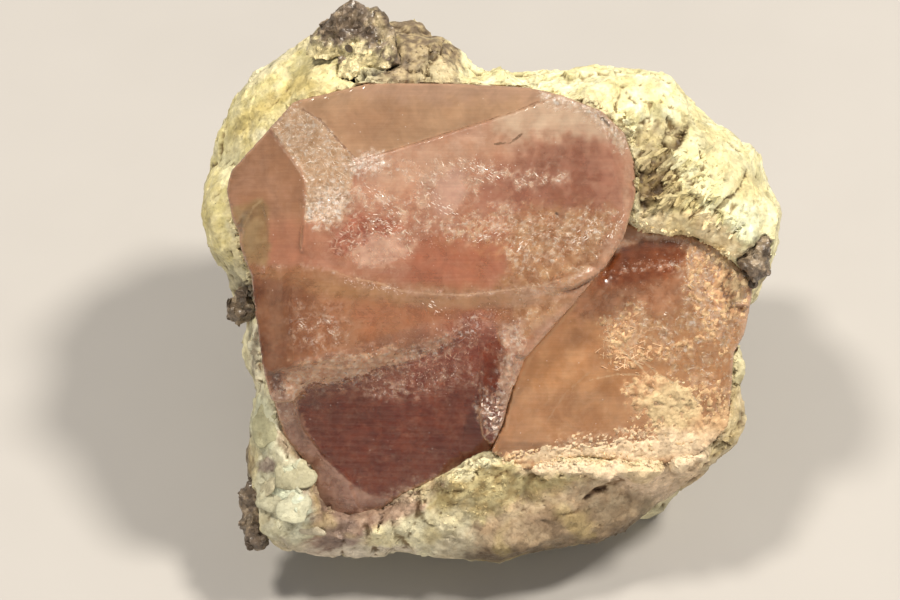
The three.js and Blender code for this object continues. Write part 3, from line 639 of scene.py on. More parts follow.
MAIN_LAYERS = [
    # upper step: pink, redder to the right, salmon and beige below
    Layer([(300, 80), (640, 60), (660, 300), (500, 340), (300, 300)], 40, 0, (172, 118, 94),
          (188, 136, 112), 5, frost=0.2, wisp=0.3),
    Layer([(360, 158), (460, 128), (560, 96), (622, 118), (600, 134), (520, 146), (440, 178), (380, 196)],
          34, 8, (200, 154, 126), (212, 170, 144), 3, frost=0.3, wisp=0.3),
    Layer([(490, 112), (548, 98), (620, 108), (618, 134), (560, 132), (500, 136)], 18, 6, (214, 184, 156),
          (224, 198, 170), 2, mix=0.8, frost=0.3),
    Layer(oval(560, 184, 54, 40, 10), 44, 10, (146, 94, 74), (166, 114, 94), 3.5, frost=0.12, wisp=0.2),
    Layer(oval(512, 196, 36, 20, 14), 26, 10, (152, 98, 80), mix=0.7),
    Layer(oval(468, 258, 62, 34, 0), 34, 8, (164, 104, 78), (180, 122, 98), 3, frost=0.15, wisp=0.4),
    Layer(oval(372, 238, 40, 26, -10), 22, 10, (152, 86, 66), (186, 118, 96), 1.4, frost=0.4, wisp=0.7),
    Layer(oval(376, 244, 26, 16, -10), 10, 8, (140, 66, 54), mix=0.7, patches=1.0, broken=(0.1, 0.4)),
    Layer([(508, 226), (548, 208), (620, 214), (612, 262), (566, 314), (512, 360), (500, 310),
          (510, 262)], 30, 10, (154, 106, 72), (176, 130, 92), 2.4, frost=0.3, wisp=0.4),
    Layer(oval(440, 190, 40, 26, 24), 22, 10, *PALE, cloud=(2.6, 0.2), frost=0.7, wisp=1,
          bumps=(0.12, 1.8)),
    Layer(oval(384, 250, 36, 15, 20), 14, 8, *PALE, cloud=(2, 0.4), frost=0.6, mix=0.8, wisp=0.8,
          bumps=(0.08, 1.6)),
    Layer([(396, 168), (430, 176), (470, 170), (520, 178), (560, 174)], 18, 10, *PALE, width=7,
          cloud=(1.6, 0.0), frost=0.7, wisp=1, glint=0.3),
    Layer([(350, 186), (392, 204), (430, 226), (468, 232), (500, 214)], 20, 10, *PALE, width=9,
          cloud=(1.6, 0.0), frost=0.7, wisp=1, glint=0.3),
    Layer([(448, 240), (476, 226), (520, 222), (560, 226), (606, 216)], 16, 12, *STRAW_PALE, width=11,
          tear=1.2, cloud=(0.9, 0.0), mix=0.7, frost=0.8, wisp=0.9, glint=0.4, bumps=(0.14, 0.9)),
    Layer([(486, 246), (520, 256), (560, 246), (600, 236)], 18, 12, *STRAW_PALE, width=12, tear=1.2,
          cloud=(1.0, 0.0), mix=0.7, frost=0.8, wisp=1, glint=0.4, bumps=(0.12, 0.9)),
    Layer([(516, 270), (600, 250), (580, 290), (530, 340), (506, 330)], 16, 8, *STRAW_PALE, mix=0.6,
          cloud=(2.4, 0.1), frost=0.5, wisp=0.6),
    Layer(oval(449, 192, 16, 24, -22), 7, 4, (206, 166, 148), mix=0.8, frost=0.4, wisp=0.2, glint=0),
    Layer(oval(380, 250, 24, 15, 14), 8, 5, (200, 158, 138), (214, 176, 156), 1.4, mix=0.75, frost=0.5,
          wisp=0.3, glint=0),
    Layer([(414, 244), (440, 234), (470, 240), (500, 246), (504, 268), (480, 286), (440, 290),
          (408, 284)], 10, 6, (172, 108, 82), mix=0.6, wisp=0.1, frost=0.1, glint=0),
    # smooth triangle along the top
    Layer([(282, 106), (300, 108), (320, 120), (338, 140), (357, 160), (400, 148), (450, 132), (510, 113),
          (548, 99), (620, 90), (560, 60), (300, 60)], 4, 0, (178, 140, 108), (190, 152, 119), 7,
          frost=0.08, wisp=0.1),
    Layer([(330, 80), (560, 80), (545, 99), (420, 102), (360, 98)], 20, 6, (196, 158, 134), mix=0.6),
    Layer(oval(370, 120, 44, 16, 10), 34, 8, (172, 130, 100), mix=0.5),
    # sparkling strip: frosted, its pale flecks painted glints
    Layer([(268, 128), (288, 108), (302, 108), (322, 121), (339, 141), (357, 161), (350, 190), (305, 224),
          (306, 182), (299, 168)], 5, 2, (180, 142, 106), (206, 172, 140), 1.2, frost=0.5, wisp=0.7,
          bumps=(0.06, 0.8), glint=0.35),
    Layer(oval(328, 206, 24, 18, 35), 16, 6, (184, 150, 120), (226, 200, 174), 0.9, tear=1.2,
          sharp=(-0.1, 0.4), frost=1, glint=0.8, bumps=(0.14, 0.8)),
    Layer(oval(366, 164, 20, 10, 10), 14, 6, (204, 166, 142), (246, 226, 208), 0.8, tear=1.2, mix=0.7,
          sharp=(-0.1, 0.4), frost=0.9, glint=0.9, bumps=(0.1, 0.8)),
    # smooth facet at the left
    Layer([(215, 190), (268, 130), (299, 170), (306, 184), (303, 222), (306, 262), (280, 270),
          (225, 262)], 5, 1, (166, 122, 92), (180, 136, 108), 6, frost=0.06),
    Layer(oval(288, 248, 36, 28, 0), 32, 4, (182, 124, 98), mix=0.8),
    Layer([(222, 208), (246, 204), (262, 198), (268, 210), (270, 268), (238, 270)], 6, 2, (158, 126, 88),
          (176, 148, 108), 3, frost=0.1),
    # ledge and lower step
    Layer([(200, 268), (268, 266), (290, 264), (320, 268), (350, 276), (380, 282), (400, 289), (430, 292),
          (460, 293), (500, 289), (520, 330), (500, 420), (240, 420)], 8, 3, (146, 94, 64),
          (168, 118, 86), 5, frost=0.12, wisp=0.3),
    Layer([(250, 268), (400, 286), (520, 288), (540, 300), (440, 308), (330, 296), (262, 290)], 18, 4,
          (148, 106, 70), (164, 122, 86), 2),
    Layer(oval(420, 322, 70, 14, -6), 26, 8, (170, 112, 82), mix=0.6),
    Layer(oval(318, 326, 30, 22, 0), 26, 8, (168, 118, 90), mix=0.4, cloud=(1.6, 0.1), frost=0.5,
          wisp=0.7, glint=0.3),
    Layer(oval(296, 318, 22, 40, 0), 26, 5, (122, 74, 48), mix=0.7),
    Layer([(244, 275), (288, 280), (290, 370), (244, 372)], 14, 3, (112, 68, 44), (134, 88, 60), 4,
          frost=0.12),
    Layer([(268, 280), (284, 282), (282, 366), (270, 368)], 10, 0, (160, 118, 92), mix=0.5),
    Layer([(200, 262), (300, 258), (350, 268), (400, 282), (460, 286), (520, 282), (640, 250), (600, 320),
          (500, 330), (400, 350), (300, 372), (200, 372)], 26, lift=0.6),
    Layer([(272, 250), (300, 250), (340, 260), (400, 272), (460, 276), (520, 270), (590, 254), (596, 268),
          (540, 304), (460, 312), (400, 308), (340, 296), (300, 290), (272, 288)], 16, melt=1),
    # paler band along the ledge: painted highlight, and painted light on the smoothed step
    Layer([(300, 272), (350, 284), (400, 296), (460, 302), (540, 296), (586, 276)], 12, 0, (184, 138, 98),
          width=6, mix=0.3),
    Layer([(308, 382), (345, 374), (400, 352), (450, 332), (480, 324)], 18, width=20, melt=1),
    Layer([(488, 330), (494, 360), (492, 404)], 12, width=12, melt=1),
    # lighter paint at the ledge's right end: painted light against the shade in the crease there
    Layer([(556, 298), (576, 288), (600, 272)], 8, 2, (206, 160, 128), width=4, mix=0.6),
    Layer([(238, 236), (247, 216), (260, 206)], 7, width=5, melt=0.9),
    Layer(UPPER_EDGE, 5, width=2, melt=0.4),
    Layer([(306, 186), (304, 222), (306, 262)], 8, width=3, melt=0.5),
    Layer([(298, 398), (296, 412), (303, 432), (322, 458), (347, 481), (366, 494)], 6, width=2, melt=0.6),
    # thin pale line along the ledge: a painted highlight, with painted glints
    Layer([(262, 268), (300, 265), (350, 276), (400, 289), (460, 293), (540, 289), (590, 272)], 6, 3,
          *PALE, width=3, mix=0.4, cloud=(1.4, 0.1), frost=0.5, glint=0.3),
    # rough band round the sunken face
    Layer([(290, 388), (312, 374), (345, 370), (390, 358)], 12, 9, (188, 132, 98), (222, 178, 140), 1.0,
          width=14, tear=1.4, frost=0.7, wisp=0.8, bumps=(0.16, 1.2), glint=0.35),
    Layer([(345, 372), (400, 357), (450, 340), (480, 324)], 10, 7, (184, 128, 96), (216, 172, 136), 1.0,
          width=8, tear=1.4, frost=0.7, wisp=0.8, bumps=(0.16, 1.2), glint=0.35),
    # the frosted band's pale middle, painted paler still: painted light on the wall that faces down, away
    # from the lamps
    Layer([(296, 386), (318, 382), (345, 377), (400, 361), (450, 343), (474, 330)], 6, 7, (204, 148, 116),
          (246, 214, 182), 0.8, width=5, tear=1.0, cloud=(1.2, 0.2), frost=0.9, wisp=1, glint=0.6,
          bumps=(0.12, 0.9)),
    Layer([(268, 370), (281, 372), (287, 392), (282, 404), (274, 398)], 4, 1.5, (104, 66, 48)),
    Layer([(512, 334), (512, 356), (506, 384), (500, 430)], 12, 7, (172, 120, 94), (204, 162, 134), 1.0,
          width=11, tear=1.6, frost=0.8, wisp=0.8, bumps=(0.16, 1.0), glint=0.4),
    # sunken dark face, its top edge mottled
    Layer([(296, 402), (304, 387), (345, 379), (374, 371), (400, 365), (424, 355), (452, 342), (464, 324),
          (492, 318), (498, 340), (498, 400), (490, 452), (478, 478), (420, 500), (356, 500), (318, 458)],
          4, 6, (101, 38, 19), (118, 52, 29), 2.6, tear=1.2, frost=0.06, wisp=0.2),
    Layer(oval(440, 368, 64, 30, 20), 36, 10, (122, 54, 34), (146, 76, 52), 1.6, mix=0.85,
          cloud=(2.2, 0.3), frost=0.2, wisp=0.6),
    Layer([(372, 392), (396, 384), (420, 388), (452, 372), (476, 380)], 16, 9, (154, 88, 62),
          (184, 124, 94), 0.8, width=7, tear=1.2, cloud=(1.0, 0.0), mix=0.6, frost=0.6, wisp=0.8,
          glint=0.35),
    Layer(oval(476, 322, 20, 13, 8), 12, 5, (140, 82, 58), (168, 110, 84), 1.4, frost=0.3),
    Layer(oval(470, 346, 24, 26, 0), 24, 8, (140, 62, 40), mix=0.6),
    # lighter line along the sunken face's top: painted light where the wall above shades it
    Layer([(312, 394), (345, 386), (400, 372), (450, 352), (480, 338)], 12, 6, (170, 104, 76),
          (196, 134, 102), 1, width=6, cloud=(1.2, 0.0), mix=0.4, frost=0.5, wisp=0.8),
    Layer(oval(330, 410, 34, 22, 20), 34, 6, (90, 42, 27), mix=0.5),
    Layer(oval(440, 470, 60, 18, 10), 30, 6, (118, 62, 44), mix=0.5),
    # paler rim below and left of it
    Layer([(262, 400), (289, 396), (297, 422), (322, 457), (347, 480), (366, 494), (420, 502), (470, 486),
          (490, 470), (470, 505), (350, 545), (262, 500)], 6, 1.6, (136, 96, 80), (162, 122, 104), 2.4,
          frost=0.3, wisp=0.3),
    Layer([(262, 392), (294, 394), (298, 420), (284, 424)], 8, 3, (168, 124, 104), (190, 150, 126), 0.8,
          mix=0.7, frost=0.7, glint=0.4),
    Layer([(380, 496), (500, 452), (500, 480), (440, 508)], 12, 6, (124, 84, 66), (152, 110, 88), 0.9,
          tear=1.4, mix=0.8, frost=0.7, wisp=0.5),
    # glassy splinters at the corner
    Layer(oval(491, 414, 13, 25, 16), 9, 7, (122, 66, 48), (212, 170, 142), 1.1, tear=1.2,
          sharp=(0.1, 0.5), frost=0.7, glint=0.4, bumps=(0.3, 0.9)),
    # chipped right edge
    Layer([(548, 97), (580, 102), (606, 118), (622, 142)], 12, 6, (188, 152, 124), (218, 194, 168), 0.8,
          width=8, tear=1.4, frost=0.9, glint=0.6, bumps=(0.12, 1.0)),
    Layer([(628, 150), (628, 205), (615, 240), (600, 268), (560, 315), (524, 358), (514, 390)], 10, 3,
          (204, 162, 134), width=4, mix=0.6, frost=0.4),
]
MAIN_LINES = [  # corners as seen, width in millimetres, colour
    ([(284, 106), (302, 109), (320, 120), (338, 140), (357, 160)], 0.26, (140, 104, 80)),
    (UPPER_EDGE, 0.22, (150, 112, 86)),
    ([(268, 131), (284, 150), (299, 170), (306, 186)], 0.24, (206, 172, 146)),
    ([(495, 144), (510, 143), (522, 134)], 0.26, (122, 92, 70)),
    ([(602, 118), (609, 125)], 0.5, (58, 50, 46)),
    ([(556.5, 213.5), (557.5, 214.5)], 0.4, (60, 42, 38)),
    # the ledge's thin pale line: a painted highlight of the smoothed step's edge
    ([(330, 270), (352, 278), (378, 283), (402, 291), (432, 294), (462, 295), (500, 291), (540, 286),
      (586, 272)], 0.22, (216, 178, 144)),
    ([(297, 398), (296, 412), (303, 432), (322, 458), (347, 481), (366, 494)], 0.26, (186, 146, 126)),
    ([(240, 266), (244, 226), (254, 206), (262, 200)], 0.24, (196, 168, 126)),
]

FOOT_CRUST = [(628, 384), (660, 378), (690, 392), (706, 420), (690, 444), (664, 440), (648, 414), (630, 400)]
FOOT_BAND = [(560, 450), (600, 442), (640, 434), (670, 430)]
# a corner painted lighter: painted light where the mica and the matrix shade it
PAINTED_LIGHT_CORNER = [(718, 256), (736, 270), (740, 296)]

SIDE_LAYERS = [
    Layer([(480, 470), (520, 380), (600, 300), (760, 300), (760, 480)], 30, 0, (172, 122, 82),
          (186, 138, 98), 5, frost=0.12, wisp=0.3),
    Layer([(604, 262), (540, 350), (512, 400), (560, 400), (620, 320)], 26, 5, (184, 132, 90),
          (198, 148, 106), 4),
    # lighter upper part: painted light where the main crystal and the matrix above shade it
    Layer([(604, 262), (566, 312), (566, 330), (600, 332), (626, 304)], 16, 5, (214, 162, 114)),
    Layer(oval(628, 300, 80, 26, 10), 44, 8, (146, 96, 66), (176, 124, 92), 2.4, frost=0.2, wisp=0.4),
    Layer([(600, 252), (640, 244), (694, 246), (700, 280), (640, 300), (600, 306)], 10, melt=1),
    # dark red-orange wedge: the crystal's deeper colour, and painted shade of the notch that the melt above
    # fills in
    Layer([(590, 292), (606, 252), (640, 240), (684, 240), (690, 270), (640, 286)], 16, 5, (118, 60, 30),
          (142, 78, 44), 1.8, frost=0.06),
    # pale rim along the top edge: a painted highlight, with painted glints
    Layer([(600, 262), (618, 244), (640, 236), (664, 235), (684, 238)], 7, 2, (196, 146, 112),
          (224, 186, 154), 1, width=4, frost=0.4, glint=0.3),
    Layer([(612, 276), (640, 266), (684, 266)], 8, 5, (178, 118, 86), width=4, frost=0.6, glint=0.7,
          cloud=(0.8, 0.0)),
    Layer([(500, 445), (540, 447), (600, 444), (660, 440)], 7, width=3, melt=0.9),
    # crust over the upper right and down the right side
    Layer([(690, 238), (720, 244), (748, 262), (752, 300), (738, 340), (712, 336), (690, 300),
          (682, 262)], 22, 12, (160, 112, 76), (200, 156, 112), 0.9, tear=1.4, frost=0.8, wisp=0.9,
          glint=0.3),
    Layer([(686, 236), (720, 240), (750, 262), (752, 300), (738, 336), (716, 330), (700, 292),
          (684, 262)], 16, 10, tear=1.0, patches=1.0, broken=(0.1, 0.5), crust=0.7),
    Layer([(712, 268), (742, 280), (736, 316), (716, 306)], 12, 6, patches=1.4, broken=(-0.2, 0.4),
          crust=0.9),
    Layer([(640, 320), (700, 300), (744, 320), (740, 420), (700, 400), (660, 360)], 24, 12,
          (164, 116, 78), (192, 150, 106), 1.1, tear=1.6, cloud=(1.8, 0.2), frost=0.7, wisp=0.9,
          bumps=(0.14, 0.9)),
    Layer(oval(624, 334, 20, 34, -20), 16, 10, (176, 130, 90), (208, 172, 128), 0.8, tear=1.2,
          cloud=(1.4, 0.2), frost=0.9, wisp=1),
    Layer(oval(622, 336, 14, 28, -20), 10, 8, tear=1.0, patches=1.0, broken=(0.0, 0.4), crust=0.8),
    Layer([(604, 322), (618, 352), (646, 378), (664, 386)], 6, 5, (222, 190, 146), width=3, tear=0.9,
          frost=0.8, wisp=1, patches=0.9, crust=0.8),
    Layer([(640, 354), (672, 352), (704, 336), (728, 314)], 7, 6, (226, 200, 150), width=4, tear=0.9,
          frost=0.8, wisp=1, patches=1.2, crust=0.8),
    Layer([(700, 262), (690, 288), (706, 320), (726, 352)], 8, 6, (226, 200, 150), width=4, tear=0.9,
          frost=0.8, wisp=1, patches=0.9, crust=0.8),
    # pale crust at the lower right, thinning out to the left along the foot
    Layer(FOOT_CRUST, 16, 10, (206, 170, 124), (226, 196, 150), 0.9, tear=1.2, frost=1, wisp=0.5),
    Layer(FOOT_CRUST, 12, 10, tear=1.2, patches=1.3, broken=(-0.7, -0.1), crust=1),
    Layer([(690, 380), (740, 390), (736, 440), (700, 446)], 20, 9, (206, 168, 124), (228, 198, 154), 1,
          tear=1.4, mix=0.85, frost=0.8, patches=1.0, broken=(0.0, 0.5), crust=0.8),
    Layer([(492, 458), (540, 452), (600, 448), (650, 442), (700, 428), (744, 396), (760, 440), (700, 480),
          (492, 490)], 9, 7, (214, 188, 154), (232, 212, 180), 0.9, tear=1.2, frost=1, crust=1),
    Layer(FOOT_BAND, 14, 9, (206, 164, 126), (232, 202, 166), 0.8,
          width=9, tear=1.2, cloud=(1.0, 0.0), frost=0.7),
    Layer(FOOT_BAND, 10, 9, width=9, tear=1.0, patches=0.8,
          broken=(0.15, 0.5), crust=0.8),
    Layer([(748, 296), (744, 340), (736, 384)], 6, 2, (192, 150, 122), (214, 178, 148), 1, width=4),
    # lighter paint: painted light in the shade of the mica
    Layer(PAINTED_LIGHT_CORNER, 10, 5, (226, 192, 148), width=6, mix=0.8),
]
SIDE_LINES = [
    ([(602, 264), (575, 305), (530, 358), (514, 396), (506, 430)], 0.4, (206, 160, 118)),
    ([(548, 420), (566, 392), (590, 372)], 0.22, (200, 158, 120)),
    ([(604, 316), (612, 342), (640, 366), (660, 392)], 0.3, (234, 206, 168)),
    ([(618, 330), (632, 352), (656, 372)], 0.24, (226, 194, 156)),
    ([(626, 386), (660, 376), (690, 392), (702, 410)], 0.4, (240, 222, 182)),
    ([(590, 380), (618, 374), (640, 375)], 0.24, (222, 188, 148)),
]


CRUST_LAYERS = [
    Layer([(480, 200), (800, 200), (800, 520), (480, 520)], 2, 0, (172, 130, 94), (210, 178, 136), 0.9),
    Layer(oval(640, 446, 130, 16, 3), 20, 6, (222, 200, 168), mix=0.8),
    Layer(oval(716, 410, 22, 34, 0), 20, 6, (192, 158, 118), mix=0.6),
    Layer(oval(672, 404, 30, 24, 20), 16, 6, (204, 184, 142), mix=0.7),
    # lighter paint: painted light in the shade of the mica
    Layer(PAINTED_LIGHT_CORNER, 10, 5, (236, 208, 164), width=7, mix=0.8),
]


CRUST_HEIGHT = 0.34
CRUST_THICKNESS = 0.25
CRUST_TONE = (226, 206, 160)


def crust_sheet(mesh, points, normals, crust):
    """A thin closed sheet that breaks out of a crystal's skin where its crust value is high."""
    form = bmesh.new()
    form.from_mesh(mesh)
    form.verts.ensure_lookup_table()
    bare = [face for face in form.faces if max(crust[corner.index] for corner in face.verts) < 0.1]
    height = CRUST_HEIGHT * step(crust, 0.12, 0.7) * (1 + 0.5 * noise(points, 0.6, 83)) - 0.1
    moved = points + normals * height[:, None]
    for corner in form.verts:
        corner.co = moved[corner.index]
    bmesh.ops.delete(form, geom=bare, context="FACES")
    form.normal_update()
    bmesh.ops.solidify(form, geom=form.faces[:], thickness=CRUST_THICKNESS)
    sheet = bpy.data.meshes.new("crust")
    form.to_mesh(sheet)
    form.free()
    places = array_of(sheet.vertices, "co")
    set_colour(sheet, "paint", painted(places, np.ones(len(places)), tone(*CRUST_TONE), CRUST_LAYERS)[0])
    return sheet


CRYSTAL_VOXEL = 0.55
CRYSTAL_MELT_ROUNDS = 300
OVER_ALL = 60  # a height above every facet
FACET_REACH = 1.2  # how far the even mesh may lie from the facet that it is laid back on
NEIGHBOUR_REACH = 1.5  # how near the other crystal is where the two meet
GROWN = 0.4  # how far a crystal's walls grow into the socket round it
GROWN_AT_CRYSTAL = 0.1  # the same where they meet the other crystal
EDGE_TONE = (200, 160, 130)
CRYSTAL_TREES = {name: BVHTree.FromBMesh(welded(name)) for name in ("main_crystal", "side_crystal")}


def laid_on_facets(mesh, tree):
    """The points of an even mesh with its front laid back on the CAD's exact facets."""
    points = array_of(mesh.vertices, "co")
    front = array_of(mesh.vertex_normals, "vector")[:, 2] > 0.5
    for i in np.flatnonzero(front):
        x, y, _ = points[i]
        hit = tree.ray_cast((x, y, OVER_ALL), (0, 0, -1))[0]
        if hit is not None and abs(hit.z - points[i, 2]) < FACET_REACH:
            points[i, 2] = hit.z
    points[:, 2] = np.where(front, smoothed(mesh, points[:, 2], 2), points[:, 2])
    return points


def grown_walls(mesh, points, normals, other):
    """The points of a crystal with its walls grown into its socket."""
    grown = np.zeros(len(points))
    for i in np.flatnonzero(normals[:, 2] < 0.35):
        near = CRYSTAL_TREES[other].find_nearest(points[i], NEIGHBOUR_REACH)[3]
        grown[i] = GROWN if near is None else GROWN_AT_CRYSTAL
    return points + normals * smoothed(mesh, grown, 2)[:, None]


def crystal_piece(node, base, layers, lines, other, absorbed, gain):
    """A crystal on its exact facets, its skin broken and painted, its walls grown into its socket."""
    mesh, tree = refined(node, CRYSTAL_VOXEL, lambda face: face.normal.z > 0.25)
    points = melted(mesh, laid_on_facets(mesh, tree), layers, CRYSTAL_MELT_ROUNDS)
    set_points(mesh, points)
    normals = array_of(mesh.vertex_normals, "vector")
    colour, lift, skin = painted(points, step(normals[:, 2], 0.05, 0.35), tone(*base), layers)
    lift += 0.03 * rolling(points, 5, 2, 3)
    points = points + normals * (lift * step(normals[:, 2], 0.3, 0.6))[:, None]
    points = grown_walls(mesh, points, normals, other)
    set_points(mesh, points)
    SURFACES[node] = tree_of(mesh)
    if skin["crust"].any():
        sheet = crust_sheet(mesh, points, normals, skin["crust"])
        add_piece(node + "_crust", sheet, node, albite("albite_crust"))
    inner = step(normals[:, 2], 0.1, 0.7)[:, None]
    colour = colour * inner + tone(*EDGE_TONE) * (1 - inner)
    set_colour(mesh, "paint", gain * colour)
    for name in ("frost", "glint", "wisp"):
        set_value(mesh, name, skin[name])
    laid = []
    for corners, width, shade in lines:
        found = [landing(right, down, [node]) for right, down in corners]
        laid.append(([place for place, _ in filter(None, found)], width, shade))
    add_piece(node + "_look", mesh, node, beryl(node + "_beryl", laid, absorbed))


crystal_piece("main_crystal", base=(184, 128, 104), layers=MAIN_LAYERS, lines=MAIN_LINES,
              other="side_crystal", absorbed=(0.9, 0.62, 0.5, 1), gain=1.12)
crystal_piece("side_crystal", base=(188, 134, 96), layers=SIDE_LAYERS, lines=SIDE_LINES,
              other="main_crystal", absorbed=(0.9, 0.66, 0.48, 1), gain=1.22)

# ---------- the matrix ----------

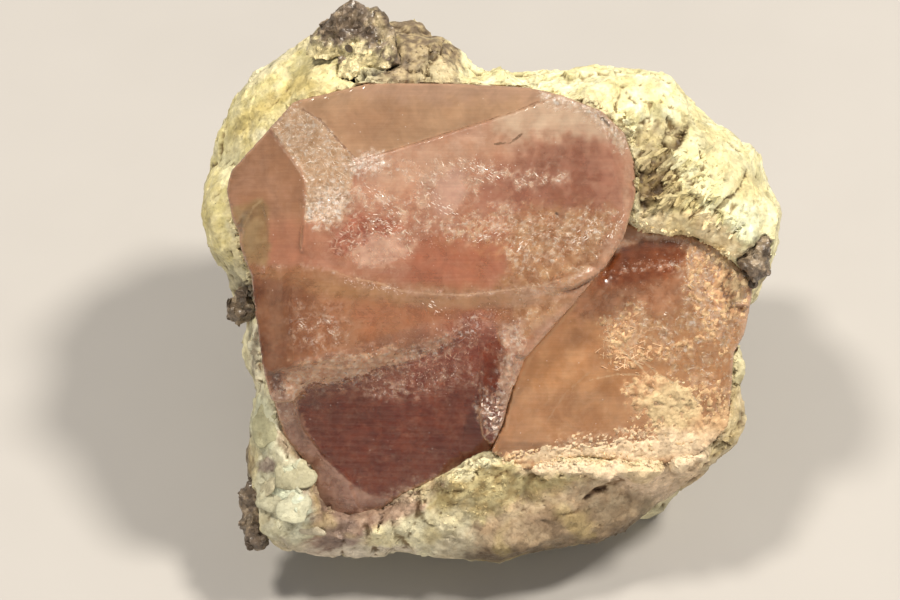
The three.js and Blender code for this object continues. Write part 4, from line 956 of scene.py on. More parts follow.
MATRIX_LAYERS = [
    Layer([(190, 190), (218, 150), (222, 105), (300, 50), (345, 40), (345, 92), (300, 104), (268, 130),
          (230, 180), (232, 268), (205, 260)], 8, 4, (220, 208, 148), (236, 226, 176), 2.4),
    Layer([(236, 130), (266, 104), (330, 70)], 12, 5, (192, 172, 104), width=7, mix=0.7),
    # paler patch on the left edge: painted light where the edge's form is shaded
    Layer(oval(230, 162, 9, 26, -16), 10, 3, (244, 238, 196), mix=0.7),
    Layer(oval(257, 135, 9, 6, 20), 8, 3, (240, 236, 205), mix=0.7),
    # knob
    Layer([(300, 0), (420, 0), (412, 60), (400, 84), (378, 84), (366, 60), (340, 50), (312, 40)], 12, 10,
          (112, 96, 78), (176, 158, 124), 1.4, lift=-0.2),
    Layer([(396, 16), (462, 40), (462, 90), (396, 84)], 8, 6, (118, 102, 82), (178, 160, 124), 1.5,
          sharp=(-0.3, 0.4)),
    Layer(oval(438, 72, 20, 15, 0), 10, 5, (216, 202, 162), mix=0.7),
    Layer([(310, 44), (352, 40), (372, 64), (345, 92), (310, 80)], 10, 6, (224, 212, 158),
          (238, 228, 184), 1.6),
    # two pits, sunk and painted nearly black: painted shade in them
    Layer(oval(357, 75, 8, 6), 5, 2, (44, 38, 24), lift=-2.2),
    Layer(oval(378, 68, 10, 5, 20), 5, 2, (54, 46, 32), lift=-2.2),
    # upper right
    Layer([(460, 60), (660, 60), (740, 140), (775, 160), (780, 290), (740, 270), (690, 220), (640, 150),
          (600, 96), (470, 96)], 8, 6, (228, 220, 168), (242, 238, 198), 3),
    # a sunk dip painted darker: painted shade in it
    Layer([(632, 128), (662, 122), (690, 116), (676, 160), (700, 200), (668, 218), (636, 214)], 14, 10,
          (142, 122, 84), (196, 180, 132), 1.4, mix=0.8, lift=-0.5),
    Layer([(684, 124), (724, 138), (772, 180), (782, 300), (752, 270), (744, 206), (712, 168)], 12, 5,
          calm=0.7),
    # a deeper pit painted darker: painted shade in it
    Layer(oval(652, 184, 13, 28, -16), 10, 7, (100, 80, 52), (144, 124, 86), 0.9, sharp=(-0.2, 0.3),
          lift=-0.8),
    # dark cracks and a groove, sunk and painted dark: painted shade in them
    Layer([(740, 188), (748, 170)], 2.4, 1.5, (120, 102, 70), width=1, lift=-0.5),
    Layer([(712, 220), (720, 206), (738, 190)], 2.6, 1.5, (128, 110, 74), width=1, lift=-0.5),
    Layer([(668, 162), (676, 148), (690, 122)], 3, 1.5, (156, 138, 98), width=1, lift=-0.3),
    Layer(oval(672, 146, 18, 5, 50), 7, 4, (142, 124, 84), lift=-0.4),
    Layer([(686, 104), (724, 138), (760, 176), (766, 226), (742, 204), (706, 168)], 14, 5,
          (210, 200, 154), mix=0.75),
    # paler strip above the side crystal: painted light where the matrix's rim is shaded
    Layer([(640, 214), (700, 210), (740, 236), (744, 262), (690, 246), (640, 238)], 7, 5, (226, 204, 158),
          (244, 228, 186), 1.6, lift=0.2, calm=0.6),
    Layer(oval(748, 222, 15, 24, 10), 9, 5, (216, 216, 176), (246, 246, 214), 1.2, lift=0.5),
    Layer(oval(758, 266, 12, 22, 30), 8, 6, (126, 110, 92), (186, 170, 134), 1.2),
    # left edge
    Layer([(212, 268), (232, 284), (258, 292)], 5, 3, (104, 92, 76), (160, 146, 118), 1, width=6),
    Layer(oval(244, 306, 15, 13), 6, 4, (112, 98, 84), (150, 136, 112), 1),
    Layer([(240, 322), (272, 326), (262, 400), (250, 440), (232, 440), (250, 380)], 8, 4, (226, 216, 184),
          (240, 236, 208), 1.6),
    # lower left: big rounded lobes in a dusty ground
    Layer([(252, 384), (300, 410), (330, 480), (330, 540), (240, 560), (235, 460)], 8, 5, (190, 184, 154),
          (212, 208, 180), 1.8),
    Layer([(254, 396), (300, 420), (336, 480), (336, 590), (230, 590), (230, 470)], 16, melt=0.8,
          calm=0.4),
    Layer([(326, 496), (440, 492), (470, 520), (470, 600), (310, 600), (320, 530)], 14, melt=0.8),
    Layer(oval(262, 424, 13, 30, 8), 7, 3, (206, 206, 176), lift=0.3, calm=0.6),
    Layer(oval(298, 474, 24, 13, 20), 6, 2, (208, 212, 184), lift=0.3, calm=0.9),
    Layer(oval(284, 494, 20, 12, -10), 6, 2, (212, 216, 190), lift=0.3, calm=0.9),
    Layer(oval(303, 507, 20, 12, 18), 5, 2, (216, 222, 198), lift=0.3, calm=0.9),
    Layer(oval(307, 526, 20, 7, 6), 5, 2, (204, 202, 176), lift=0.2, calm=0.9),
    Layer(oval(264, 510, 13, 18, 10), 7, 3, (204, 198, 170), lift=0.2, calm=0.7),
    # thin dark lines under the lobes' edges: painted shade
    Layer([(276, 486), (300, 487), (318, 476)], 2.5, 1, (140, 128, 98), width=0.8, lift=-0.3),
    Layer([(284, 516), (300, 519), (320, 510)], 2.5, 1, (140, 128, 98), width=0.8, lift=-0.3),
    # dark patch between lobes: painted shade
    Layer(oval(268, 466, 10, 8), 5, 3, (132, 116, 104), (164, 150, 134), 1),
    Layer(oval(248, 462, 7, 18), 5, 4, (118, 104, 92), (170, 156, 132), 1),
    Layer([(258, 330), (254, 372), (250, 410), (247, 440), (246, 470), (244, 500), (250, 530)], 5, 3,
          (92, 80, 66), (140, 126, 106), 1, width=3, mix=0.85),
    # translucent foot under the main crystal, ribs beside it
    Layer([(312, 496), (350, 504), (372, 512), (366, 552), (300, 560), (318, 530)], 14, 4,
          (160, 136, 124), (186, 166, 152), 2, calm=0.8),
    Layer([(330, 488), (376, 504), (430, 500), (420, 516), (360, 530), (326, 516)], 12, 5,
          (168, 132, 116), mix=0.8),
    Layer([(252, 540), (420, 552), (420, 566), (262, 566)], 10, 5, (196, 182, 162), mix=0.7),
    Layer(oval(398, 552, 18, 4), 5, 3, (128, 112, 96)),
    # lower right: grainy above, then smooth and streaked
    Layer([(430, 490), (520, 455), (600, 462), (640, 470), (600, 486), (540, 510), (430, 545)], 10, 8,
          (164, 144, 98), (204, 190, 142), 1.6),
    Layer([(520, 500), (600, 474), (740, 440), (740, 470), (655, 502), (620, 538), (430, 566),
          (440, 545)], 12, 6, (186, 158, 126), (212, 190, 158), 2.4),
    # the underside turning away, painted darker: painted shade
    Layer([(430, 536), (540, 518), (640, 496), (680, 474), (700, 500), (620, 555), (430, 580)], 18, 6,
          (124, 104, 82), (148, 126, 100), 2, mix=0.7),
    # a broad darker wash over the lower right front: painted shade
    Layer([(480, 500), (560, 466), (740, 430), (760, 480), (640, 560), (480, 575)], 40, 0,
          (150, 134, 104), mix=0.22),
    # paler lower front under the crystal: the albite's whiter underside, and painted light where it faces
    # down
    Layer([(392, 524), (440, 510), (470, 506), (480, 566), (330, 572), (350, 552)], 20, 6,
          (206, 198, 168), (228, 224, 196), 2, mix=0.55),
    # darker mauve below the main crystal and beside the lobes: painted shade
    Layer([(302, 452), (324, 486), (346, 500), (372, 506), (408, 490), (446, 474), (448, 486), (414, 502),
          (384, 520), (352, 540), (326, 552), (306, 544), (314, 520), (304, 496)], 12, 6, (124, 98, 80),
          (156, 132, 112), 1.8, mix=0.9),
    # a darker round patch there: painted shade too
    Layer(oval(334, 530, 22, 22, 0), 18, 5, (136, 116, 106), mix=0.6, calm=0.8),
    Layer([(280, 560), (320, 560), (356, 556), (410, 556)], 10, 4, (216, 204, 184), width=8, mix=0.8),
    # dark band along the lower right edge: the floor's shadow painted on
    Layer([(470, 560), (560, 552), (620, 538), (664, 514)], 12, 4, (84, 68, 52), width=9, mix=0.8),
    # dark line between lobes: painted shade
    Layer([(282, 436), (290, 450), (302, 460)], 7, 4, (138, 116, 94), width=5, mix=0.8),
    Layer([(520, 466), (560, 467), (600, 468), (640, 470), (676, 464), (704, 452)], 9, 3, (226, 204, 172),
          width=7, lift=1.2, calm=0.9),
    # paler paint near the side crystal's foot: painted light in the shade under it
    Layer([(660, 484), (700, 476), (730, 452)], 10, 4, (216, 190, 158), width=8, mix=0.7),
    Layer([(716, 396), (752, 380), (752, 450), (700, 480)], 8, 4, (184, 164, 128), (216, 200, 164), 1.4),
    # darker patch on the underside: painted shade
    Layer(oval(560, 522, 36, 12, -8), 14, 5, (124, 102, 80), mix=0.7),
    # paler paint under the foot: painted light in its shade
    Layer(oval(640, 480, 44, 15, -22), 14, 5, (232, 206, 176), mix=0.7),
    # dark slits, sunk and painted dark: painted shade in them
    Layer([(586, 498), (596, 491), (606, 489)], 2.5, 1, (104, 78, 54), width=2, lift=-0.4),
    Layer([(556, 517), (580, 511)], 1.8, 1, (130, 106, 80), width=1.4, lift=-0.3),
]


MATRIX_VOXEL = 0.98
SOCKET_REACH = 1.2
MATRIX_MELT_ROUNDS = 120
ALBITE_BASE = (222, 214, 176)
YELLOWED = (206, 186, 122)
STREAKED = [(430, 500), (720, 440), (660, 520), (430, 600)]
RIBBED = [(322, 500), (440, 490), (436, 575), (322, 575)]
FANNED = [(636, 168), (694, 150), (738, 196), (734, 236), (652, 222)]


def hollows(mesh, points, normals):
    """How far each point lies below the ground round it, in millimetres."""
    smooth = np.column_stack([smoothed(mesh, points[:, i], 9) for i in range(3)])
    return ((smooth - points) * normals).sum(axis=1)


def weathered(colour, points):
    """The albite's colour with broad yellow patches and cloudy lights and darks."""
    patches = step(rolling(points, 9, 3, 25), 0.1, 0.6)[:, None]
    colour = colour * (1 - 0.3 * patches) + 0.3 * patches * tone(*YELLOWED)
    return colour * (0.92 + 0.14 * rolling(points, 2.6, 3, 27))[:, None]


def albite_colour(points):
    """The painted ground colour of the albite at places on its front."""
    front = np.ones(len(points))
    return weathered(painted(points, front, tone(*ALBITE_BASE), MATRIX_LAYERS)[0], points)


def turned(x, y, z):
    """The matrix of a turn in degrees, for rows of points."""
    return np.array(Euler((radians(x), radians(y), radians(z))).to_matrix())


def standing_height(points):
    """Height of points of the face frame over the base, in millimetres."""
    standing = points @ np.array(FROM_FACE.to_3x3()).T + np.array(FROM_FACE.to_translation())
    return standing[:, 2] / MM


def in_sockets(points):
    """1 where a point is in a crystal's socket, falling to 0 beside it."""
    room = np.full(len(points), SOCKET_REACH)
    for tree in CRYSTAL_TREES.values():
        for i, point in enumerate(points):
            found = tree.find_nearest(point, SOCKET_REACH)[3]
            if found is not None:
                room[i] = min(room[i], found)
    return step(-room, -0.4, 0.2)


def albite_relief(points, facing, calm):
    """Height of the albite's blocks, cracks, streaks, grooves and ribs, in millimetres."""
    place = seen(points)
    smooth_rim, streaks, ribbed, fans = (
        step(polygon_depth(place, area) / edge) * facing
        for area, edge in ((MATRIX_LAYERS[0].corners, 8), (STREAKED, 10), (RIBBED, 12), (FANNED, 14))
    )
    warped = points + 0.9 * rolling(points, 3, 2, 5)[:, None]
    blocky = 0.75 * fractured(warped, 8, 2) + 0.35 * fractured(warped, 3.2, 6)
    _, border, _ = cells(warped, 9, 12)
    cracks = -0.9 * step(0.05 - border, 0, 0.05) * step(rolling(points, 6, 2, 37), 0, 0.4)
    fine = 0.3 * rolling(points, 4, 2, 8) + 0.1 * rolling(points, 1.1, 2, 9)
    rugged = (blocky + cracks + fine) * (1 - 0.75 * smooth_rim) * (1 - 0.8 * streaks) * (1 - calm)
    bent = points + 0.8 * rolling(points, 5, 2, 43)[:, None]
    along = bent @ turned(0, 0, -14)
    flow = 0.22 * rolling(along, (11, 1.3, 4), 3, 15) * streaks
    slits = -0.3 * step(0.1 - abs(noise(along, (13, 2.2, 6), 51)), 0, 0.1) * streaks
    slits *= step(noise(points, 5, 53), 0.1, 0.4)
    grooves = 0.25 * rolling(bent @ turned(0, 0, 32), (7, 0.8, 3), 2, 19) * smooth_rim
    ribs = -0.7 * step(noise(bent @ turned(0, 0, 8), (2.1, 13, 9), 57), 0.05, 0.5) * ribbed
    fanned = -0.9 * step(noise(bent @ turned(0, 0, 38), (7, 1.7, 5), 59), 0.0, 0.5) * fans
    return rugged + flow + slits + grooves + ribs + fanned


def matrix_piece():
    """The albite: broken, bladed and pitted over the CAD's form, its base left flat."""

    def is_front(face):
        return face.normal.z > -0.1 and face.calc_center_median().z > -17

    mesh, _ = refined("matrix", MATRIX_VOXEL, is_front)
    points = array_of(mesh.vertices, "co")
    height = standing_height(points)
    outside = 1 - in_sockets(points)
    free = step(height, 0.1, 1.0) * outside
    points += (melted(mesh, points, MATRIX_LAYERS, MATRIX_MELT_ROUNDS) - points) * free[:, None]
    set_points(mesh, points)
    normals = array_of(mesh.vertex_normals, "vector")
    facing = step(normals[:, 2], -0.2, 0.2) * step(points[:, 2], -30, -16)
    colour, lift, skin = painted(points, facing, tone(*ALBITE_BASE), MATRIX_LAYERS)
    lift += albite_relief(points, facing, skin["calm"])
    points = points + normals * (lift * step(height, 0.3, 3.5) * outside)[:, None]
    below = np.minimum(standing_height(points), 0)
    points -= np.outer(below, np.array(TO_FACE.to_3x3() @ Vector((0, 0, MM))))
    set_points(mesh, points)
    SURFACES["matrix"] = tree_of(mesh)
    set_colour(mesh, "paint", weathered(colour, points))
    # depth of recesses, which the albite darkens as stain and painted shade
    set_value(mesh, "hollow_shade_and_stain", step(hollows(mesh, points, normals), 0.02, 0.3))
    add_piece("matrix_look", mesh, "matrix", albite("albite_rock"), sharp=38)


matrix_piece()

# ---------- small closed forms, gathered into one piece ----------


def hull_form(random, count, flat=1.0):
    """An angular grain: the hull of random points, about 1 across."""
    form = bmesh.new()
    for direction in random.normal(size=(count, 3)):
        point = 0.5 * direction / np.linalg.norm(direction) * (1, 1, flat)
        form.verts.new(point * (0.8 + 0.2 * random.random()))
    result = bmesh.ops.convex_hull(form, input=form.verts)
    loose = [g for g in result["geom_interior"] if isinstance(g, bmesh.types.BMVert)]
    bmesh.ops.delete(form, geom=loose, context="VERTS")
    form.verts.index_update()
    made = ([v.co[:] for v in form.verts], [[v.index for v in f.verts] for f in form.faces])
    form.free()
    return np.array(made[0]), made[1]


def prism_form(corners, tip):
    """A plate on an outline, 1 thick, its rims bevelled to the share tip of its width."""
    corners = np.asarray(corners, float)
    count = len(corners)
    levels = [(-0.5, tip), (-0.3, 1), (0.3, 1), (0.5, tip)]
    points = [(x * wide, y * wide, z) for z, wide in levels for x, y in corners]
    faces = [
        [a + count * k, b + count * k, b + count * (k + 1), a + count * (k + 1)]
        for k in range(len(levels) - 1)
        for a, b in zip(range(count), [*range(1, count), 0])
    ]
    top = count * (len(levels) - 1)
    return np.array(points), [*faces, list(range(count))[::-1], list(range(top, top + count))]


def plate_form(random, sides, wobble=0.12):
    """A thin plate with the given number of uneven sides, 1 across and 1 thick."""
    angles = (np.arange(sides) + wobble * random.normal(size=sides)) * 2 * pi / sides
    radii = 0.5 * (1 + wobble * random.normal(size=sides))
    return prism_form(np.column_stack((radii * np.cos(angles), radii * np.sin(angles))), 0.94)


SHADE_SPREAD = 0.1


class Heap:
    """Many small closed forms, each with a shade of its own, gathered into one mesh."""

    def __init__(self, seed):
        self.random = np.random.default_rng(seed)
        self.points = []
        self.faces = []
        self.tones = []
        self.count = 0

    def add(self, form, place, axes, size, colour, bend=0.0):
        """A form scaled to size, its own x, y, z laid along the axes, at a place in the face frame."""
        points, faces = form
        scaled = points * size
        if bend:
            scaled[:, 2] += bend * (scaled[:, 0] ** 2 + 0.6 * scaled[:, 1] ** 2)
        self.points.append(scaled @ np.array(axes) + np.array(place))
        self.faces += [[i + self.count for i in face] for face in faces]
        shade = 1 + SHADE_SPREAD * self.random.normal()
        self.tones += [np.array(colour) * shade] * len(points)
        self.count += len(points)

    def mesh(self, name):
        mesh = bpy.data.meshes.new(name)
        mesh.from_pydata(np.vstack(self.points).tolist(), [], self.faces)
        set_colour(mesh, "paint", np.array(self.tones))
        return mesh


def axes_on(normal, random, tilt, along=None):
    """Three axes with z near the normal, tilted at random, and x along a direction or at random."""
    z = np.array(normal) + tilt * random.normal(size=3)
    z /= np.linalg.norm(z)
    x = np.array(along, float) if along is not None else random.normal(size=3)
    x = x - (x @ z) * z
    x /= np.linalg.norm(x)
    return np.array((x, np.cross(z, x), z))


def spots_in(corners, width, count, random):
    """Random places, as seen, in an outline or, with a width, along a line."""
    corners = np.array(corners, float)
    if width:
        lengths = np.linalg.norm(np.diff(corners, axis=0), axis=1)
        ends = lengths.cumsum()
        for along in random.random(count) * lengths.sum():
            i = min(np.searchsorted(ends, along), len(lengths) - 1)
            share = 1 - (ends[i] - along) / lengths[i]
            yield corners[i] + share * (corners[i + 1] - corners[i]) + width * random.normal(size=2) / 2
        return
    low, high = corners.min(axis=0), corners.max(axis=0)
    made = 0
    while made < count:
        spot = low + random.random(2) * (high - low)
        if polygon_depth(spot[None], corners)[0] > 0:
            made += 1
            yield spot


def strew(heap, corners, width, count, forms, size, nodes, colours=None, *, shape, sink=0.5,
          tilt=0.8, along=None, bend=0.0):
    """Small forms strewn over what is seen in an area, or along a line, sunk partly into the
    surface. Without colours of their own they take the albite's."""
    random = heap.random
    found = [landing(right, down, nodes) for right, down in spots_in(corners, width, count, random)]
    found = [item for item in found if item is not None]
    if not found:
        return
    places = np.array([place for place, _ in found])
    ground = albite_colour(places) if colours is None else None
    for i, (_, normal) in enumerate(found):
        big = size[0] + (size[1] - size[0]) * random.random() ** 2
        form = forms[random.integers(len(forms))]
        axes = axes_on(normal, random, tilt, along)
        centre = places[i] + np.array(normal) * big * shape[2] * (0.5 - sink)
        colour = ground[i] if colours is None else tone(*colours[random.integers(len(colours))])
        heap.add(form, centre, axes, big * np.array(shape), colour, bend)


GRAINS = [hull_form(np.random.default_rng(100 + i), 12) for i in range(8)]
CHIPS = [hull_form(np.random.default_rng(120 + i), 7, 0.6) for i in range(6)]
NEEDLES = [prism_form([(-0.5, -0.5), (0.5, -0.4), (0.45, 0.5), (-0.4, 0.45)], 0.5)]

# ---------- mica ----------

MICA_LAYERS = [
    Layer([(296, 40), (330, 44), (360, 42), (380, 60), (350, 96), (300, 84)], 12, 9, (206, 192, 144),
          (228, 216, 168), 1.4, mix=0.9),
    Layer([(372, 10), (384, 34), (398, 44), (420, 50)], 8, 7, (176, 160, 124), width=5, mix=0.7),
    Layer(oval(372, 60, 22, 16, 20), 12, 9, (196, 182, 140), (224, 212, 166), 1.2, mix=0.8, patches=1.6,
          broken=(-0.4, 0.1)),
    Layer([(340, 34), (356, 30), (372, 36)], 6, 5, (74, 60, 48), width=3),
]
MICA_TONES = [(116, 101, 83), (94, 80, 65), (138, 122, 101), (104, 90, 76)]
MICA = mica("mica_plates")
MICA_VOXEL = 0.5


def mica_mass(node):
    """The body of a cluster: the CAD's lump, broken all over into small tilted plates."""
    mesh, _ = refined(node, MICA_VOXEL, lambda face: False)
    points = array_of(mesh.vertices, "co")
    normals = array_of(mesh.vertex_normals, "vector")
    relief = 0.4 * fractured(points, 2.6, 71)
    relief += 0.3 * fractured(points @ turned(30, 50, 0), (1.5, 1.5, 0.6), 73)
    _, _, random = cells(points, 1.8, 75)
    plates = np.array([tone(*MICA_TONES[int(len(MICA_TONES) * value)]) for value in random[:, 1]])
    colour, _, _ = painted(points, step(normals[:, 2], -0.3, 0.2), plates, MICA_LAYERS)
    calm = step(standing_height(points), 0.5, 3)
    set_points(mesh, points + normals * ((relief - 0.1) * calm)[:, None])
    set_colour(mesh, "paint", colour)
    add_piece(node + "_look", mesh, node, MICA, sharp=24)


def mica_books(node, books, size):
    """Books of thin plates that stick out of a cluster here and there."""
    heap = Heap(sum(map(ord, node)))
    random = heap.random
    form = welded(node)
    tree = BVHTree.FromBMesh(form)
    corners = np.array([v.co for v in form.verts])
    form.free()
    middle, reach = corners.mean(axis=0), np.ptp(corners, axis=0).max()
    low, high = corners.min(axis=0), corners.max(axis=0)
    plates = [plate_form(np.random.default_rng(140 + i), 6 + i % 3) for i in range(6)]
    while books:
        direction = random.normal(size=3)
        direction /= np.linalg.norm(direction)
        start = Vector(middle + direction * reach + random.normal(size=3) * reach * 0.12)
        place, normal, _, _ = tree.ray_cast(start, Vector(-direction))
        if place is None:
            continue
        books -= 1
        wide = size * (0.6 + 0.8 * random.random())
        axes = axes_on(normal, random, 0.5)
        plate = plates[random.integers(len(plates))]
        thin = wide * (0.05 + 0.05 * random.random())
        layers = random.integers(3, 7)
        colour = tone(*MICA_TONES[random.integers(len(MICA_TONES))])
        base = np.array(place) - np.array(normal) * wide * 0.26
        base = np.clip(base, low + 0.4 * wide, high - 0.4 * wide)
        for i in range(layers):
            shift = axes[0] * random.normal() * 0.05 * wide + axes[1] * random.normal() * 0.05 * wide
            centre = base + shift + axes[2] * (i - layers / 2) * thin * 1.25
            spread = wide * (1 + 0.06 * random.normal())
            heap.add(plate, centre, axes, (spread, spread, thin), colour)
    add_piece(node + "_books", heap.mesh(node + "_books"), node, MICA, sharp=20)


for cluster, books, size in (
    ("mica_top", 24, 1.0),
    ("mica_left", 20, 1.3),
    ("mica_lower_left", 20, 1.2),
    ("mica_right", 20, 1.3),
):
    mica_mass(cluster)
    mica_books(cluster, books, size)

# ---------- albite crumbs and blades ----------

ON_MATRIX = ["matrix"]
ON_SIDE = ["side_crystal", "matrix"]
ON_MAIN = ["main_crystal"]
CRUMB = (1, 0.8, 0.5)
ROCK = albite("albite_crumbs")

crumbs = Heap(5)
SEAMS = [  # middle line, width, count
    ([(236, 178), (275, 128), (302, 104), (360, 92), (450, 88), (560, 92), (600, 104), (628, 140),
      (634, 176)], 4, 420),
    ([(634, 176), (632, 214), (645, 232), (690, 236), (740, 262), (750, 290)], 5, 300),
    ([(742, 320), (728, 400), (712, 440), (660, 462), (600, 458), (560, 462), (500, 458)], 5, 420),
    ([(508, 460), (560, 463), (600, 461), (660, 465), (704, 448)], 5, 320),
    ([(618, 108), (632, 136), (636, 176), (632, 214)], 3, 160),
    ([(500, 458), (460, 474), (410, 500), (372, 508), (330, 510), (310, 480)], 4, 200),
    ([(236, 180), (232, 220), (244, 262), (258, 300), (262, 360), (274, 400), (300, 440), (312, 480)],
     4, 300),
]
for seam, width, count in SEAMS:
    strew(crumbs, seam, width, count, GRAINS, (0.35, 1.4), ON_MATRIX, sink=0.45, shape=CRUMB)
for area, count in (
    ([(640, 130), (690, 120), (730, 180), (700, 220), (650, 214)], 200),
    ([(440, 470), (560, 466), (600, 480), (440, 530)], 200),
    ([(330, 510), (420, 510), (400, 560), (330, 556)], 40),
    ([(340, 60), (450, 40), (460, 84), (360, 86)], 160),
):
    strew(crumbs, area, None, count, GRAINS, (0.3, 1.2), ON_MATRIX, shape=CRUMB)
add_piece("albite_crumbs", crumbs.mesh("albite_crumbs"), "matrix", ROCK, sharp=25)

blades = Heap(8)
BLADE_FORMS = [plate_form(np.random.default_rng(160 + i), 11, 0.09) for i in range(6)]
for area, count, size, shape, along in (
    ([(256, 440), (312, 446), (326, 540), (262, 548)], 18, (1.0, 2.4), (1, 0.7, 0.25), None),
    ([(640, 150), (704, 150), (730, 205), (650, 216)], 90, (1.6, 4.4), (1, 0.2, 0.14), (1, 0.8, 0)),
    ([(690, 200), (740, 200), (745, 240), (700, 236)], 46, (1.4, 3.6), (1, 0.24, 0.14), (0.8, 1, 0)),
    ([(250, 330), (272, 330), (264, 440), (246, 440)], 16, (1.2, 2.8), (1, 0.5, 0.2), None),
):
    strew(blades, area, None, count, BLADE_FORMS, size, ON_MATRIX, sink=0.8, tilt=0.3, shape=shape,
          along=along, bend=-0.02)
add_piece("albite_blades", blades.mesh("albite_blades"), "matrix", ROCK, sharp=25)


def lobe_form(random, around=24, rings=9):
    """A flat pebble with an uneven outline and a wavy top, 1 across and 1 thick."""
    angles = np.arange(around) * 2 * pi / around
    outline = 1 + sum(0.24 / k * np.sin(k * angles + 6 * random.random()) for k in (2, 3, 4, 5, 7))
    points = [(0, 0, 0.5)]
    for ring in range(1, rings):
        down = pi * ring / rings
        wide = 0.5 * np.sin(down) ** 0.7 * outline
        high = 0.5 * np.cos(down) + 0.09 * np.sin(2 * angles + ring)
        points += list(zip(wide * np.cos(angles), wide * np.sin(angles), high))
    points.append((0, 0, -0.5))
    sides = list(enumerate([*range(1, around), 0]))
    faces = [(0, 1 + i, 1 + j) for i, j in sides]
    for base in range(1, 1 + (rings - 2) * around, around):
        faces += [(base + j, base + i, base + i + around, base + j + around) for i, j in sides]
    base = 1 + (rings - 2) * around
    faces += [(base + j, base + i, len(points) - 1) for i, j in sides]
    return np.array(points), faces


LOBE_LEAN = (-0.15, 0.15, 0.4)  # added to the ground's normal, so that the lobes face the viewer
LOBE_SUNK = 0.25
LOBES = [  # the white lobes at the lower left: place and size as seen, turn, height, tone
    ((266, 484), (34, 30), 0, 0.9, (178, 170, 142)),
    ((264, 425), (34, 44), 10, 0.9, (176, 172, 138)),
    ((309, 530), (30, 13), 12, 0.8, (168, 158, 136)),
    ((282, 520), (44, 24), -8, 0.9, (180, 176, 150)),
    ((294, 508), (32, 36), 20, 1.0, (172, 170, 146)),
    ((274, 500), (38, 30), 5, 1.0, (178, 174, 148)),
    ((294, 475), (42, 34), -24, 1.1, (158, 153, 126)),
]
lobes = Heap(21)
for i, ((right, down), (wide, high), turn, thick, shade) in enumerate(LOBES):
    found = landing(right, down, ON_MATRIX)
    if found:
        normal = np.array(found[1]) + LOBE_LEAN
        normal /= np.linalg.norm(normal)
        along = (np.cos(radians(-turn)), np.sin(radians(-turn)), 0)
        form = lobe_form(np.random.default_rng(180 + i))
        size = np.array((wide * SEEN_UNIT, high * SEEN_UNIT, thick))
        axes = axes_on(normal, lobes.random, 0.08, along)
        lobes.add(form, np.array(found[0]) - LOBE_SUNK * normal, axes, size, tone(*shade))
add_piece("albite_lobes", lobes.mesh("albite_lobes"), "matrix", albite("albite_lobes", 0.65))

# ---------- grains and needles on the side crystal ----------

grains = Heap(11)
GRAIN_TONES = [(204, 172, 130), (218, 190, 150), (196, 162, 120), (226, 204, 166)]
STRAW_TONES = [(220, 184, 148), (212, 172, 136), (228, 196, 160)]
for corners, width, count, size in (
    (oval(668, 410, 46, 28, 30), None, 260, (0.25, 0.9)),
    ([(600, 456), (650, 448), (700, 436), (728, 400)], 16, 260, (0.25, 0.9)),
    ([(694, 246), (742, 262), (742, 330), (700, 320), (680, 290)], None, 90, (0.15, 0.6)),
    ([(520, 444), (700, 424), (700, 450), (520, 460)], None, 120, (0.15, 0.6)),
    ([(504, 456), (560, 455), (610, 452), (660, 448), (700, 436)], 7, 240, (0.5, 1.6)),
):
    strew(grains, corners, width, count, GRAINS, size, ON_SIDE, GRAIN_TONES, sink=0.55, tilt=0.9,
          shape=(1, 0.75, 0.4))
for area, along in (
    (oval(628, 340, 32, 28, 20), (1, 0.6, 0)),
    (oval(628, 340, 32, 28, 20), (0.1, 1, 0)),
    (oval(636, 346, 40, 30, 20), (1, -0.3, 0)),
):
    strew(grains, area, None, 40, NEEDLES, (0.6, 2.0), ON_SIDE, STRAW_TONES, tilt=0.2,
          shape=(1, 0.07, 0.07), along=along)
add_piece("albite_grains", grains.mesh("albite_grains"), "side_crystal", ROCK, sharp=25)

# ---------- clear splinters in the beryl's cracks ----------


def splinter_material():
    """Clear chips of beryl: pale, sharp and shiny."""
    n = Nodes("beryl_splinters")
    n.set(Base_Color=n.mix(n.noise(0.4), rgba(240, 214, 196), rgba(255, 246, 238)), IOR=BERYL_IOR)
    n.set(Roughness=n.ramp(n.noise(0.6), 0.3, 0.7, 0.05, 0.18), Transmission_Weight=0.3)
    n.set(Normal=n.bump(n.noise(0.3), 0.04, 0.4))
    return n.material


splinters = Heap(13)
CLEAR = [(245, 225, 210)]
for nodes, corners, width, count, largest in (
    (ON_MAIN, oval(328, 208, 22, 12, 35), None, 340, 0.7),
    (ON_MAIN, oval(366, 162, 15, 7, 10), None, 140, 0.56),
    (ON_MAIN, [(286, 140), (310, 118), (346, 158), (330, 205), (306, 200)], None, 220, 0.35),
    (ON_MAIN, [(410, 170), (440, 178), (470, 166), (510, 168)], 9, 180, 0.42),
    (ON_MAIN, [(380, 210), (430, 240), (470, 236), (520, 232)], 12, 220, 0.42),
    (ON_MAIN, [(344, 280), (366, 286), (400, 291)], 4, 120, 0.42),
    (ON_MAIN, oval(318, 322, 14, 10, 0), None, 32, 0.28),
    (ON_MAIN, oval(492, 412, 10, 20, 12), None, 68, 1.54),
    (ON_MAIN, [(300, 372), (380, 350), (460, 322), (508, 310), (508, 380)], 12, 340, 0.385),
    (ON_MAIN, [(556, 98), (590, 106), (616, 128)], 5, 140, 0.56),
    (ON_MAIN, [(372, 386), (400, 380), (450, 378)], 14, 120, 0.35),
    (["side_crystal"], [(620, 268), (650, 263), (690, 262)], 8, 120, 0.35),
    (["side_crystal"], [(640, 236), (690, 244)], 4, 80, 0.49),
):
    strew(splinters, corners, width, count, CHIPS, (0.12, largest), nodes, CLEAR, sink=0.4,
          shape=(1, 0.6, 0.45))
GLINT_COUNT = 11  # needles, and as many chips, along each stretch of a glinting crack
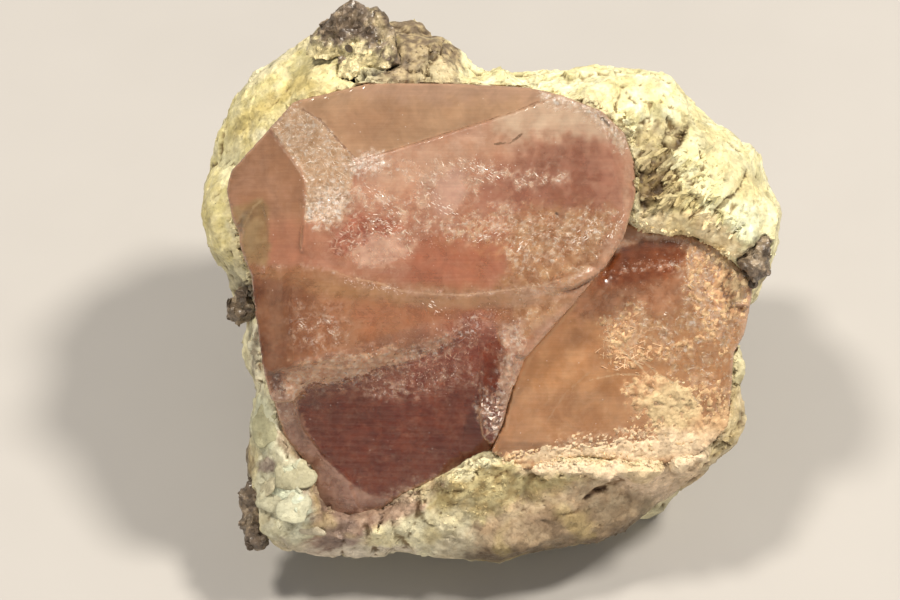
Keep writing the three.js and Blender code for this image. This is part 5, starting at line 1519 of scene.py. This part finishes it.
GLINT_LINES = [
    [(470, 163), (482, 170), (497, 180)],
    [(426, 188), (434, 200), (446, 208), (458, 214)],
    [(372, 192), (384, 200), (397, 215)],
    [(360, 222), (382, 222), (402, 234)],
    [(474, 240), (492, 234), (518, 220)],
    [(516, 250), (530, 238), (560, 222)],
    [(572, 244), (584, 236), (594, 223)],
    [(611, 238), (616, 226), (621, 214)],
    [(424, 302), (440, 312)],
]
for corners in GLINT_LINES:
    for a, b in zip(corners, corners[1:]):
        toward = (b[0] - a[0], a[1] - b[1], 0)
        strew(splinters, [a, b], 6, GLINT_COUNT, NEEDLES, (0.3, 1.0), ON_MAIN, CLEAR, tilt=0.3,
              shape=(1, 0.16, 0.12), along=toward)
        strew(splinters, [a, b], 10, GLINT_COUNT, CHIPS, (0.15, 0.5), ON_MAIN, CLEAR, tilt=0.5,
              shape=(1, 0.5, 0.3))
add_piece("beryl_splinters", splinters.mesh("beryl_splinters"), "main_crystal",
          splinter_material(), sharp=10)

# ---------- camera, lights, floor ----------

SENSOR = 36  # width in millimetres
LAMP_TONE = (1, 0.93, 0.82)
FLOOR_HALF = 1.5

scene = bpy.context.scene
lens = bpy.data.cameras.new("camera")
lens.sensor_width = SENSOR
lens.lens = SENSOR * VIEWER.z / SEEN_UNIT / SEEN_WIDTH
lens.clip_start = 0.01
camera = bpy.data.objects.new("camera", lens)
camera.matrix_world = FACE @ Matrix.Translation(VIEWER * MM)
scene.collection.objects.link(camera)
scene.camera = camera


def soft_light(name, place, aim_height, size, watts, colour):
    """A round lamp turned to a height over the middle of the base."""
    light = bpy.data.lights.new(name, "AREA")
    light.shape = "DISK"
    light.size = size
    light.energy = watts
    light.color = colour
    holder = bpy.data.objects.new(name, light)
    holder.location = place
    way = Vector((0, 0, aim_height)) - Vector(place)
    holder.rotation_euler = way.to_track_quat("-Z", "Y").to_euler()
    scene.collection.objects.link(holder)
    return holder


soft_light("key", (0.72, 0.06, 1.25), aim_height=0.04, size=0.24, watts=23, colour=LAMP_TONE)
soft_light("second", (-0.5, 0.06, 1.33), aim_height=0.04, size=0.24, watts=15, colour=LAMP_TONE)
fill = soft_light("fill", (0, -1.1, 0.28), aim_height=0.03, size=0.9, watts=5, colour=(1, 0.94, 0.88))
fill.visible_glossy = False

world = bpy.data.worlds.new("room")
world.use_nodes = True
room_light = world.node_tree.nodes["Background"]
room_light.inputs["Color"].default_value = (1, 0.97, 0.94, 1)
room_light.inputs["Strength"].default_value = 0.3
scene.world = world
scene.view_settings.view_transform = "Standard"

floor_mesh = bpy.data.meshes.new("floor")
floor_form = bmesh.new()
bmesh.ops.create_grid(floor_form, x_segments=2, y_segments=2, size=FLOOR_HALF)
floor_form.to_mesh(floor_mesh)
floor_form.free()
floor = bpy.data.objects.new("floor", floor_mesh)
paper = Nodes("paper")
grey = paper.mix(paper.noise(30, 2), (0.38, 0.365, 0.35, 1), (0.41, 0.395, 0.38, 1))
paper.set(Base_Color=grey, Roughness=0.7)
floor_mesh.materials.append(paper.material)
scene.collection.objects.link(floor)
